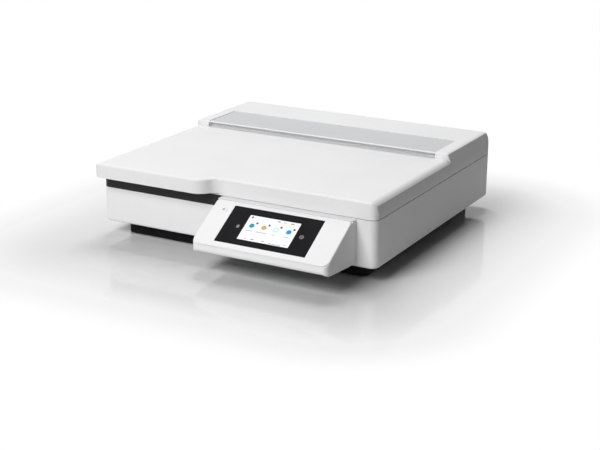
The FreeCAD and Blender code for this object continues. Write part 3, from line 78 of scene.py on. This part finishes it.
# Four round functions, in millimetres on the cover glass, with their halos, badges, label bars and tiles
ICON_ROW = 36.9
ICON_PLACES = (51.3, 74.8, 97.8, 122.4)
ICON_RADIUS = 4.7
HALO_WIDTH = 2.2
GLYPH_WIDTH = 5.6
GLYPH_HEIGHT = 3.2
GLYPH_CORNER = 0.8
BADGE_RADIUS = 2.2
BADGE_STEP = 2.8
BADGE_RISE = 2.1
LABEL_DROP = 10.6
LABEL_WIDTHS = (13.0, 20.0, 6.0, 9.0)
LABEL_HEIGHT = 1.6
TILE_DROP = 15.5
TILE_WIDTH = 16.0
TILE_HEIGHT = 9.0
TILE_CORNER = 1.2

# Foot of the page, in millimetres: each mark's step and width, and rises above the page's lower edge
FOOT_MARKS = ((13.0, 2.4), (24.0, 7.0), (46.0, 4.0), (88.0, 2.6))
FOOT_MARK_RISE = 4.6
FOOT_MARK_HEIGHT = 1.5
FOOT_LINE_STEP = 60.0
FOOT_LINE_RISE = 2.4
FOOT_LINE_WIDTH = 22.0
FOOT_LINE_HEIGHT = 1.0
FOOT_LINE_CORNER = 0.4

# Touch marks beside the display, in millimetres on the cover glass
HOME_MARK = (27.1, 42.6)
ROOF_REACH = 3.6
WALL_WIDTH = 5.0
WALL_HEIGHT = 3.2
WALL_GAP = 0.2
HELP_MARK = (148.9, 42.0)
HELP_RADIUS = 4.0
HELP_STROKE = 0.9
HELP_DISC_RADIUS = 3.0

# Power mark on its button, in millimetres, with its ring's ends in degrees
BUTTON_DOWN = 12.5
BUTTON_LEVEL = 6
POWER_RADIUS = 2.3
POWER_STROKE = 0.8
POWER_START = -50
POWER_END = 230
POWER_BAR_RISE = 0.3
POWER_BAR_LENGTH = 2.9

# White strip along the flap's front edge: painted highlight on its rounded front edge
HIGHLIGHT_STRIP_LAP = 1.4 * MM
HIGHLIGHT_STRIP_PROUD = 0.18 * MM
HIGHLIGHT_STRIP_END_GAP = 3.0 * MM
HIGHLIGHT_STRIP_DROP = 2.0 * MM
HIGHLIGHT_STRIP_NOSE = 0.9 * MM
HIGHLIGHT_STRIP_STEPS = 6

# Plastics
PLASTIC_SPECULAR = 0.22
PLASTIC_GRAIN = 0.12
PLASTIC_GRAIN_SCALE = 1600.0
BLACK = (0.006, 0.006, 0.007)
BLACK_LOW = (0.005, 0.005, 0.006)
BLACK_HIGH = (0.008, 0.008, 0.009)
BLACK_SPECULAR = 0.10

# Floor, in metres: it fades to white between two distances from its footprint, given by half its sides
FLOOR_SIZE = 60.0
FOOTPRINT = (0.255, 0.275, 0.0)
FADE_START = 0.0
FADE_END = 0.30
FLOOR_NEAR = (0.66, 0.66, 0.66)
# Far out the floor's own colour darkens behind the white that is seen: painted shade, so that less light
# bounces back onto the part's sides
FLOOR_SHADE_FAR = (0.16, 0.16, 0.16)
FLOOR_ROUGHNESS = 0.08
DARKEN_START = 0.7
DARKEN_END = 1.0

# Light: level of the world, and each lamp's place and width in metres and power in watts
AMBIENT = 0.015
LAMP_AIM = (0.0, 0.0, 0.1)
KEY_PLACE = (-0.5, -2.65, 2.25)
KEY_WIDTH = 1.6
KEY_POWER = 96.0
TOP_PLACE = (-0.45, 1.1, 2.6)
TOP_WIDTH = 1.3
TOP_POWER = 40.0

# Photograph's camera: place in metres, lens and sensor in millimetres
CAMERA_PLACE = (1.1599, -2.0432, 0.7750)
CAMERA_AZIMUTH = math.radians(29.10)
CAMERA_ELEVATION = math.radians(18.17)
CAMERA_ROLL = math.radians(0.18)
CAMERA_LENS = 79.0
CAMERA_SENSOR = 36.0


# Shader nodes
def shader_of(made):
    return made.node_tree.nodes["Principled BSDF"]


def new_material(name, color, roughness, metallic=0.0):
    made = bpy.data.materials.new(name)
    made.use_nodes = True
    shader = shader_of(made)
    shader.inputs["Base Color"].default_value = (*color, 1.0)
    shader.inputs["Roughness"].default_value = roughness
    shader.inputs["Metallic"].default_value = metallic
    return made


def add_node(owner, kind, **settings):
    """New node in a material or in the world."""
    node = owner.node_tree.nodes.new(kind)
    for key, value in settings.items():
        setattr(node, key, value)
    return node


def join(owner, output, socket):
    owner.node_tree.links.new(output, socket)


def surface_point(made, stretch=(1.0, 1.0, 1.0)):
    place = add_node(made, "ShaderNodeTexCoord")
    mapping = add_node(made, "ShaderNodeMapping")
    mapping.inputs["Scale"].default_value = stretch
    join(made, place.outputs["Object"], mapping.inputs["Vector"])
    return mapping.outputs["Vector"]


def noise(made, scale, detail=2.0, stretch=(1.0, 1.0, 1.0)):
    node = add_node(made, "ShaderNodeTexNoise")
    node.inputs["Scale"].default_value = scale
    node.inputs["Detail"].default_value = detail
    join(made, surface_point(made, stretch), node.inputs["Vector"])
    return node.outputs["Fac"]


def waves(made, scale, axis):
    node = add_node(made, "ShaderNodeTexWave", wave_type="BANDS", bands_direction=axis)
    node.inputs["Scale"].default_value = scale
    join(made, surface_point(made), node.inputs["Vector"])
    return node.outputs["Fac"]


def add_bump(made, height, strength, distance):
    node = add_node(made, "ShaderNodeBump")
    node.inputs["Strength"].default_value = strength
    node.inputs["Distance"].default_value = distance
    join(made, height, node.inputs["Height"])
    join(made, node.outputs["Normal"], shader_of(made).inputs["Normal"])


def vary_color(made, amount, first, second, low=0.35, high=0.65):
    ramp = add_node(made, "ShaderNodeValToRGB")
    ramp.color_ramp.elements[0].position = low
    ramp.color_ramp.elements[1].position = high
    ramp.color_ramp.elements[0].color = (*first, 1.0)
    ramp.color_ramp.elements[1].color = (*second, 1.0)
    join(made, amount, ramp.inputs["Fac"])
    join(made, ramp.outputs["Color"], shader_of(made).inputs["Base Color"])


def vary_roughness(made, amount, low, high):
    node = add_node(made, "ShaderNodeMapRange")
    node.inputs["To Min"].default_value = low
    node.inputs["To Max"].default_value = high
    join(made, amount, node.inputs["Value"])
    join(made, node.outputs["Result"], shader_of(made).inputs["Roughness"])


def seen_ray(owner):
    """Level 1 for rays that see a surface, straight, mirrored or through glass, else 0."""
    path = add_node(owner, "ShaderNodeLightPath")
    seen = add_node(owner, "ShaderNodeMath", operation="MAXIMUM")
    join(owner, path.outputs["Is Camera Ray"], seen.inputs[0])
    join(owner, path.outputs["Is Glossy Ray"], seen.inputs[1])
    seen_through = add_node(owner, "ShaderNodeMath", operation="MAXIMUM")
    join(owner, seen.outputs["Value"], seen_through.inputs[0])
    join(owner, path.outputs["Is Transmission Ray"], seen_through.inputs[1])
    return seen_through.outputs["Value"]


def shade(color, factor):
    return tuple(min(1.0, c * factor) for c in color)


# Materials
def moulded_plastic(name, color, roughness):
    made = new_material(name, color, roughness)
    shader_of(made).inputs["Specular IOR Level"].default_value = PLASTIC_SPECULAR
    vary_color(made, noise(made, 7.0), shade(color, 0.985), shade(color, 1.01))
    vary_roughness(made, noise(made, 40.0), roughness - 0.05, roughness + 0.05)
    add_bump(made, noise(made, PLASTIC_GRAIN_SCALE, 3.0), PLASTIC_GRAIN, 0.05 * MM)
    return made


def deep_black(name, roughness, patch_scale):
    made = new_material(name, BLACK, roughness)
    shader_of(made).inputs["Specular IOR Level"].default_value = BLACK_SPECULAR
    vary_color(made, noise(made, patch_scale), BLACK_LOW, BLACK_HIGH)
    return made


def gloss_black(name):
    made = deep_black(name, 0.06, 30.0)
    vary_roughness(made, noise(made, 14.0), 0.04, 0.09)
    return made


def dull_black(name):
    made = deep_black(name, 0.62, 25.0)
    add_bump(made, noise(made, 1400.0, 3.0), 0.2, 0.06 * MM)
    return made


def clear_glass(name):
    made = new_material(name, (0.93, 0.97, 0.955), 0.02)
    shader = shader_of(made)
    shader.inputs["Transmission Weight"].default_value = 1.0
    shader.inputs["IOR"].default_value = 1.5
    vary_roughness(made, noise(made, 9.0), 0.01, 0.04)
    return made


def brushed_metal(name, color, roughness, stretch):
    made = new_material(name, color, roughness, 1.0)
    streaks = noise(made, 500.0, 2.0, stretch)
    vary_color(made, streaks, shade(color, 0.9), shade(color, 1.06))
    vary_roughness(made, streaks, roughness - 0.08, roughness + 0.08)
    add_bump(made, streaks, 0.08, 0.05 * MM)
    return made


def spangled_zinc(name):
    made = new_material(name, (0.60, 0.61, 0.62), 0.38, 1.0)
    cells = add_node(made, "ShaderNodeTexVoronoi")
    cells.inputs["Scale"].default_value = 140.0
    join(made, surface_point(made), cells.inputs["Vector"])
    vary_color(made, cells.outputs["Distance"], (0.56, 0.57, 0.58), (0.66, 0.67, 0.68), 0.1, 0.6)
    vary_roughness(made, noise(made, 60.0), 0.30, 0.46)
    return made


def black_rubber(name):
    made = new_material(name, (0.028, 0.028, 0.028), 0.75)
    vary_color(made, noise(made, 120.0), (0.022, 0.022, 0.022), (0.036, 0.036, 0.036))
    add_bump(made, noise(made, 900.0), 0.25, 0.08 * MM)
    return made


def circuit_board(name):
    made = new_material(name, (0.02, 0.16, 0.07), 0.35)
    traces = waves(made, 90.0, "DIAGONAL")
    vary_color(made, traces, (0.012, 0.12, 0.05), (0.03, 0.22, 0.10), 0.45, 0.55)
    vary_roughness(made, noise(made, 80.0), 0.28, 0.42)
    add_bump(made, traces, 0.15, 0.05 * MM)
    return made


def marked_film(name):
    made = new_material(name, (0.5, 0.52, 0.54), 0.15)
    vary_color(made, waves(made, 700.0, "X"), (0.12, 0.12, 0.13), (0.62, 0.64, 0.66), 0.4, 0.6)
    return made


def felt(name):
    made = new_material(name, (0.78, 0.77, 0.73), 0.95)
    fibres = noise(made, 700.0, 5.0)
    vary_color(made, fibres, (0.70, 0.69, 0.65), (0.84, 0.83, 0.80))
    add_bump(made, fibres, 0.6, 0.3 * MM)
    return made


def foam_sheet(name):
    made = new_material(name, (0.88, 0.88, 0.87), 0.7)
    vary_color(made, noise(made, 60.0), (0.86, 0.86, 0.85), (0.90, 0.90, 0.89))
    add_bump(made, noise(made, 450.0, 3.0), 0.2, 0.1 * MM)
    return made


def tinted_tank(name, color):
    made = new_material(name, color, 0.22)
    shader_of(made).inputs["Coat Weight"].default_value = 0.4
    vary_color(made, noise(made, 45.0), shade(color, 0.9), shade(color, 1.1))
    vary_roughness(made, noise(made, 80.0), 0.16, 0.30)
    return made


def lit_print(name, color, strength=0.55):
    made = new_material(name, color, 0.15)
    shader = shader_of(made)
    shader.inputs["Emission Color"].default_value = (*color, 1.0)
    shader.inputs["Emission Strength"].default_value = strength
    shader.inputs["Coat Weight"].default_value = 0.6
    vary_color(made, noise(made, 90.0), shade(color, 0.97), color)
    return made


slot_materials = {
    "white_case": moulded_plastic("white_plastic", (0.84, 0.842, 0.846), 0.42),
    "grey_flap": moulded_plastic("grey_plastic", (0.60, 0.61, 0.625), 0.48),
    "black_plastic": moulded_plastic("black_plastic", (0.018, 0.018, 0.019), 0.45),
    "window_glass": gloss_black("cover_glass"),
    "screen": lit_print("display_glass", (0.84, 0.86, 0.93)),
    "bed_glass": clear_glass("bed_glass"),
    "mat_white": foam_sheet("white_foam"),
    "rubber": black_rubber("black_rubber"),
    "zinc_steel": spangled_zinc("zinc_steel"),
    "bright_steel": brushed_metal("bright_steel", (0.72, 0.72, 0.73), 0.22, (1.0, 14.0, 14.0)),
    "motor_steel": brushed_metal("motor_steel", (0.42, 0.43, 0.44), 0.40, (10.0, 10.0, 1.0)),
    "pulley_plastic": moulded_plastic("natural_plastic", (0.72, 0.70, 0.64), 0.5),
    "circuit_board": circuit_board("circuit_board"),
    "clear_film": marked_film("encoder_film"),
    "felt": felt("white_felt"),
    "ink_black": tinted_tank("tank_black", (0.022, 0.022, 0.024)),
    "ink_cyan": tinted_tank("tank_cyan", (0.0, 0.30, 0.55)),
    "ink_magenta": tinted_tank("tank_magenta", (0.55, 0.02, 0.20)),
    "ink_yellow": tinted_tank("tank_yellow", (0.80, 0.58, 0.02)),
}
node_materials = {
    "plinth": dull_black("plinth_black"),
}
for entry in frame["record"]["subparts"]:
    node = entry["node"]
    node_mesh = frame["nodes"][node].data
    node_mesh.materials.clear()
    node_mesh.materials.append(node_materials.get(node, slot_materials[entry["material_slot"]]))

page_white = lit_print("page_white", (0.82, 0.83, 0.86), 0.22)
page_strip = lit_print("page_strip", (0.74, 0.76, 0.84), 0.26)
page_grey = lit_print("page_grey", (0.20, 0.21, 0.25), 0.05)
page_pale = lit_print("page_pale", (0.42, 0.44, 0.50), 0.08)
page_dark = lit_print("page_dark", (0.02, 0.02, 0.025), 0.05)
icon_teal = lit_print("icon_teal", (0.015, 0.22, 0.36), 0.10)
icon_tan = lit_print("icon_tan", (0.50, 0.38, 0.19), 0.06)
icon_mint = lit_print("icon_mint", (0.54, 0.70, 0.68), 0.16)
icon_blue = lit_print("icon_blue", (0.010, 0.22, 0.56), 0.12)
icon_halo = lit_print("icon_halo", (0.60, 0.80, 0.84), 0.24)
icon_warm_halo = lit_print("icon_warm_halo", (0.86, 0.82, 0.62), 0.24)
badge_green = lit_print("badge_green", (0.012, 0.11, 0.016), 0.08)
glass_mark = lit_print("glass_mark", (0.20, 0.20, 0.21), 0.12)
glass_mark_dim = lit_print("glass_mark_dim", (0.075, 0.07, 0.07), 0.05)
power_print = moulded_plastic("power_print", (0.10, 0.105, 0.11), 0.4)


# Pieces that only the scene has
def add_prism(mesh, first, second):
    """Solid between two like rings of points, with a flat face at each end."""
    near = [mesh.verts.new(point) for point in first]
    far = [mesh.verts.new(point) for point in second]
    mesh.faces.new(near)
    mesh.faces.new(list(reversed(far)))
    for i in range(len(near)):
        j = (i + 1) % len(near)
        mesh.faces.new((far[i], far[j], near[j], near[i]))


def add_piece(name, mesh, made, body):
    """Finished mesh as a piece of the scene that rides on one of the part's bodies."""
    bmesh.ops.recalc_face_normals(mesh, faces=mesh.faces)
    data = bpy.data.meshes.new(name)
    mesh.to_mesh(data)
    mesh.free()
    piece = bpy.data.objects.new(name, data)
    bpy.context.scene.collection.objects.link(piece)
    data.materials.append(made)
    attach(piece, body)


# Flat prints on the panel
glass_low, glass_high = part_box("panel_glass")
glass_edge = GLASS_THICKNESS * math.cos(PANEL_TILT)
glass_length = (glass_high.z - glass_low.z - glass_edge) / math.sin(PANEL_TILT)
glass_top = Vector((glass_low.x, glass_low.y + glass_length * math.cos(PANEL_TILT), glass_high.z))
down_slope = Vector((0.0, -math.cos(PANEL_TILT), -math.sin(PANEL_TILT)))
out_of_face = Vector((0.0, -math.sin(PANEL_TILT), math.cos(PANEL_TILT)))


def on_glass(across, down, height):
    """Point on the panel: millimetres from the cover glass's upper left corner, metres above its face."""
    return glass_top + Vector((across * MM, 0.0, 0.0)) + down_slope * (down * MM) + out_of_face * height


def printed(name, outlines, made, body="base", level=0):
    """Thin raised shapes on the panel, one for each outline of (across, down) points in millimetres."""
    mesh = bmesh.new()
    low = PRINT_LIFT + level * PRINT_HEIGHT
    high = low + PRINT_HEIGHT
    for points in outlines:
        add_prism(mesh, [on_glass(u, t, high) for u, t in points], [on_glass(u, t, low) for u, t in points])
    add_piece(name, mesh, made, body)


def disc(u, t, radius, count=32):
    steps = [2 * math.pi * i / count for i in range(count)]
    return [(u + radius * math.cos(a), t + radius * math.sin(a)) for a in steps]


def ring_part(u, t, radius, width, start, end, count=28):
    steps = [math.radians(start + (end - start) * i / count) for i in range(count + 1)]
    inside = radius - width
    outer = [(u + radius * math.cos(a), t + radius * math.sin(a)) for a in steps]
    inner = [(u + inside * math.cos(a), t + inside * math.sin(a)) for a in reversed(steps)]
    return outer + inner


def bar(u, t, width, height, corner=0.0, count=6):
    if corner == 0.0:
        return [(u, t), (u + width, t), (u + width, t + height), (u, t + height)]
    corners = [
        (u + width - corner, t + height - corner, 0),
        (u + corner, t + height - corner, 90),
        (u + corner, t + corner, 180),
        (u + width - corner, t + corner, 270),
    ]
    points = []
    for cu, ct, first in corners:
        for i in range(count + 1):
            a = math.radians(first + 90 * i / count)
            points.append((cu + corner * math.cos(a), ct + corner * math.sin(a)))
    return points


def page_bar(step, drop, width, height, corner):
    return bar(PAGE_LEFT + step, PAGE_TOP + drop, width, height, corner)


def page_and_strip():
    printed("screen_page", [page_bar(0.0, 0.0, PAGE_WIDTH, PAGE_HEIGHT, PAGE_CORNER)], page_white)
    strip_width = PAGE_WIDTH - 2 * STRIP_INSET
    strip = page_bar(STRIP_INSET, STRIP_INSET, strip_width, STRIP_HEIGHT, STRIP_CORNER)
    printed("status_strip", [strip], page_strip, level=1)
    home = disc(PAGE_LEFT + STATUS_HOME_STEP, PAGE_TOP + STATUS_HOME_DROP, STATUS_HOME_RADIUS)
    printed("status_home", [home], page_dark, level=2)
    marks = []
    for step in STATUS_STEPS:
        marks.append(page_bar(step, STATUS_DROP, STATUS_WIDTH, STATUS_HEIGHT, STATUS_CORNER))
    printed("status_marks", marks, page_grey, level=2)
    clock = page_bar(CLOCK_STEP, CLOCK_DROP, CLOCK_WIDTH, CLOCK_HEIGHT, SMALL_CORNER)
    printed("status_clock", [clock], page_pale, level=2)


def round_functions():
    halos = [disc(u, ICON_ROW, ICON_RADIUS + HALO_WIDTH) for u in ICON_PLACES]
    printed("icon_halo_tan", [halos[1]], icon_warm_halo, level=1)
    printed("icon_halo_cool", [halos[0], halos[2], halos[3]], icon_halo, level=1)
    for place, made in zip(ICON_PLACES, (icon_teal, icon_tan, icon_mint, icon_blue)):
        printed(made.name + "_disc", [disc(place, ICON_ROW, ICON_RADIUS)], made, level=2)
    glyph_left = ICON_PLACES[2] - GLYPH_WIDTH / 2
    glyph = bar(glyph_left, ICON_ROW - GLYPH_HEIGHT / 2, GLYPH_WIDTH, GLYPH_HEIGHT, GLYPH_CORNER)
    printed("icon_pale_glyph", [glyph], page_white, level=3)
    badge_row = ICON_ROW - ICON_RADIUS - BADGE_RISE
    badges = [disc(u + ICON_RADIUS + BADGE_STEP, badge_row, BADGE_RADIUS) for u in ICON_PLACES]
    printed("icon_badges", badges, badge_green, level=2)
    labels = []
    for place, width in zip(ICON_PLACES, LABEL_WIDTHS):
        labels.append(bar(place - width / 2, ICON_ROW + LABEL_DROP, width, LABEL_HEIGHT, SMALL_CORNER))
    printed("icon_labels", labels, page_pale, level=1)
    tile_row = ICON_ROW + TILE_DROP
    tiles = [bar(u - TILE_WIDTH / 2, tile_row, TILE_WIDTH, TILE_HEIGHT, TILE_CORNER) for u in ICON_PLACES]
    printed("lower_tiles", tiles, page_strip, level=1)


def page_foot():
    mark_drop = PAGE_HEIGHT - FOOT_MARK_RISE
    marks = [page_bar(step, mark_drop, width, FOOT_MARK_HEIGHT, SMALL_CORNER) for step, width in FOOT_MARKS]
    printed("foot_marks", marks, page_grey, level=2)
    line_drop = PAGE_HEIGHT - FOOT_LINE_RISE
    line = page_bar(FOOT_LINE_STEP, line_drop, FOOT_LINE_WIDTH, FOOT_LINE_HEIGHT, FOOT_LINE_CORNER)
    printed("foot_line", [line], page_grey, level=2)


def touch_marks():
    u, t = HOME_MARK
    roof = [(u - ROOF_REACH, t), (u, t - ROOF_REACH), (u + ROOF_REACH, t)]
    walls = bar(u - WALL_WIDTH / 2, t + WALL_GAP, WALL_WIDTH, WALL_HEIGHT)
    printed("home_mark", [roof, walls], glass_mark)
    u, t = HELP_MARK
    halves = [ring_part(u, t, HELP_RADIUS, HELP_STROKE, start, start + 180) for start in (0, 180)]
    printed("help_ring", halves, glass_mark)
    printed("help_disc", [disc(u, t, HELP_DISC_RADIUS)], glass_mark_dim)


def power_mark():
    button_low, button_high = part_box("power_button")
    u = ((button_low.x + button_high.x) / 2 - glass_top.x) / MM
    ring = ring_part(u, BUTTON_DOWN, POWER_RADIUS, POWER_STROKE, POWER_START, POWER_END)
    bar_top = BUTTON_DOWN - POWER_RADIUS - POWER_BAR_RISE
    stroke = bar(u - POWER_STROKE / 2, bar_top, POWER_STROKE, POWER_BAR_LENGTH)
    printed("power_mark", [ring, stroke], power_print, "power_key", BUTTON_LEVEL)


page_and_strip()
round_functions()
page_foot()
touch_marks()
power_mark()


# White strip along the flap's front edge, with a rounded nose: painted highlight where the flap's rounded
# front edge catches the light
def flap_highlight_strip():
    flap_low, flap_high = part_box("ink_flap")
    back = flap_low.y + HIGHLIGHT_STRIP_LAP
    front = flap_low.y - HIGHLIGHT_STRIP_PROUD
    foot = flap_high.z - HIGHLIGHT_STRIP_DROP
    top = flap_high.z + HIGHLIGHT_STRIP_PROUD
    section = [(back, foot), (back, top)]
    for i in range(HIGHLIGHT_STRIP_STEPS + 1):
        a = math.radians(90 + 90 * i / HIGHLIGHT_STRIP_STEPS)
        section.append((front + HIGHLIGHT_STRIP_NOSE * (1 + math.cos(a)), top - HIGHLIGHT_STRIP_NOSE * (1 - math.sin(a))))
    section.append((front, foot))
    left = flap_low.x + HIGHLIGHT_STRIP_END_GAP
    right = flap_high.x - HIGHLIGHT_STRIP_END_GAP
    mesh = bmesh.new()
    add_prism(mesh, [(left, y, z) for y, z in section], [(right, y, z) for y, z in section])
    # White plastic on the grey flap's edge paints its highlight
    add_piece("flap_highlight_strip", mesh, slot_materials["white_case"], "flap")


flap_highlight_strip()


# Stage: pale floor that fades to white away from the part
def floor_material():
    made = new_material("floor", FLOOR_NEAR, FLOOR_ROUGHNESS)
    place = add_node(made, "ShaderNodeNewGeometry")
    folded = add_node(made, "ShaderNodeVectorMath", operation="ABSOLUTE")
    join(made, place.outputs["Position"], folded.inputs[0])
    past = add_node(made, "ShaderNodeVectorMath", operation="SUBTRACT")
    join(made, folded.outputs["Vector"], past.inputs[0])
    past.inputs[1].default_value = FOOTPRINT
    outside = add_node(made, "ShaderNodeVectorMath", operation="MAXIMUM")
    join(made, past.outputs["Vector"], outside.inputs[0])
    distance = add_node(made, "ShaderNodeVectorMath", operation="LENGTH")
    join(made, outside.outputs["Vector"], distance.inputs[0])
    fade = add_node(made, "ShaderNodeMapRange", interpolation_type="SMOOTHSTEP")
    fade.inputs["From Min"].default_value = FADE_START
    fade.inputs["From Max"].default_value = FADE_END
    join(made, distance.outputs["Value"], fade.inputs["Value"])
    # Painted shade: far from the part the floor's colour darkens, unseen behind the white, so it throws
    # less light onto the part's sides
    vary_color(made, fade.outputs["Result"], FLOOR_NEAR, FLOOR_SHADE_FAR, DARKEN_START, DARKEN_END)
    amount = add_node(made, "ShaderNodeMath", operation="MULTIPLY")
    join(made, seen_ray(made), amount.inputs[0])
    join(made, fade.outputs["Result"], amount.inputs[1])
    white = add_node(made, "ShaderNodeEmission")
    mix = add_node(made, "ShaderNodeMixShader")
    join(made, amount.outputs["Value"], mix.inputs["Fac"])
    join(made, shader_of(made).outputs["BSDF"], mix.inputs[1])
    join(made, white.outputs["Emission"], mix.inputs[2])
    join(made, mix.outputs["Shader"], made.node_tree.nodes["Material Output"].inputs["Surface"])
    return made


bpy.ops.mesh.primitive_plane_add(size=FLOOR_SIZE)
floor = bpy.context.object
floor.name = "floor"
floor.data.materials.append(floor_material())

# World: white where it is seen, dim where it lights
world = bpy.data.worlds.new("studio")
bpy.context.scene.world = world
world.use_nodes = True
backdrop = world.node_tree.nodes["Background"]
backdrop.inputs["Color"].default_value = (1.0, 1.0, 1.0, 1.0)
world_level = add_node(world, "ShaderNodeMapRange")
world_level.inputs["To Min"].default_value = AMBIENT
join(world, seen_ray(world), world_level.inputs["Value"])
join(world, world_level.outputs["Result"], backdrop.inputs["Strength"])


# Lamps
def soft_lamp(name, place, width, power):
    light = bpy.data.lights.new(name, "AREA")
    light.shape = "SQUARE"
    light.size = width
    light.energy = power
    lamp = bpy.data.objects.new(name, light)
    bpy.context.scene.collection.objects.link(lamp)
    lamp.location = place
    direction = Vector(LAMP_AIM) - Vector(place)
    lamp.rotation_euler = direction.to_track_quat("-Z", "Y").to_euler()


soft_lamp("key_lamp", KEY_PLACE, KEY_WIDTH, KEY_POWER)
soft_lamp("top_lamp", TOP_PLACE, TOP_WIDTH, TOP_POWER)

# Camera
camera_data = bpy.data.cameras.new("camera")
camera_data.lens = CAMERA_LENS
camera_data.sensor_width = CAMERA_SENSOR
camera_data.sensor_fit = "HORIZONTAL"
camera = bpy.data.objects.new("camera", camera_data)
bpy.context.scene.collection.objects.link(camera)
bpy.context.scene.camera = camera
level = math.cos(CAMERA_ELEVATION)
backward = Vector((
    math.sin(CAMERA_AZIMUTH) * level, -math.cos(CAMERA_AZIMUTH) * level, math.sin(CAMERA_ELEVATION),
))
level_right = Vector((math.cos(CAMERA_AZIMUTH), math.sin(CAMERA_AZIMUTH), 0.0))
level_up = backward.cross(level_right)
right = level_right * math.cos(CAMERA_ROLL) + level_up * math.sin(CAMERA_ROLL)
up = backward.cross(right)
turn = Matrix((right, up, backward)).transposed().to_4x4()
camera.matrix_world = Matrix.Translation(CAMERA_PLACE) @ turn

bpy.context.scene.view_settings.view_transform = "Standard"
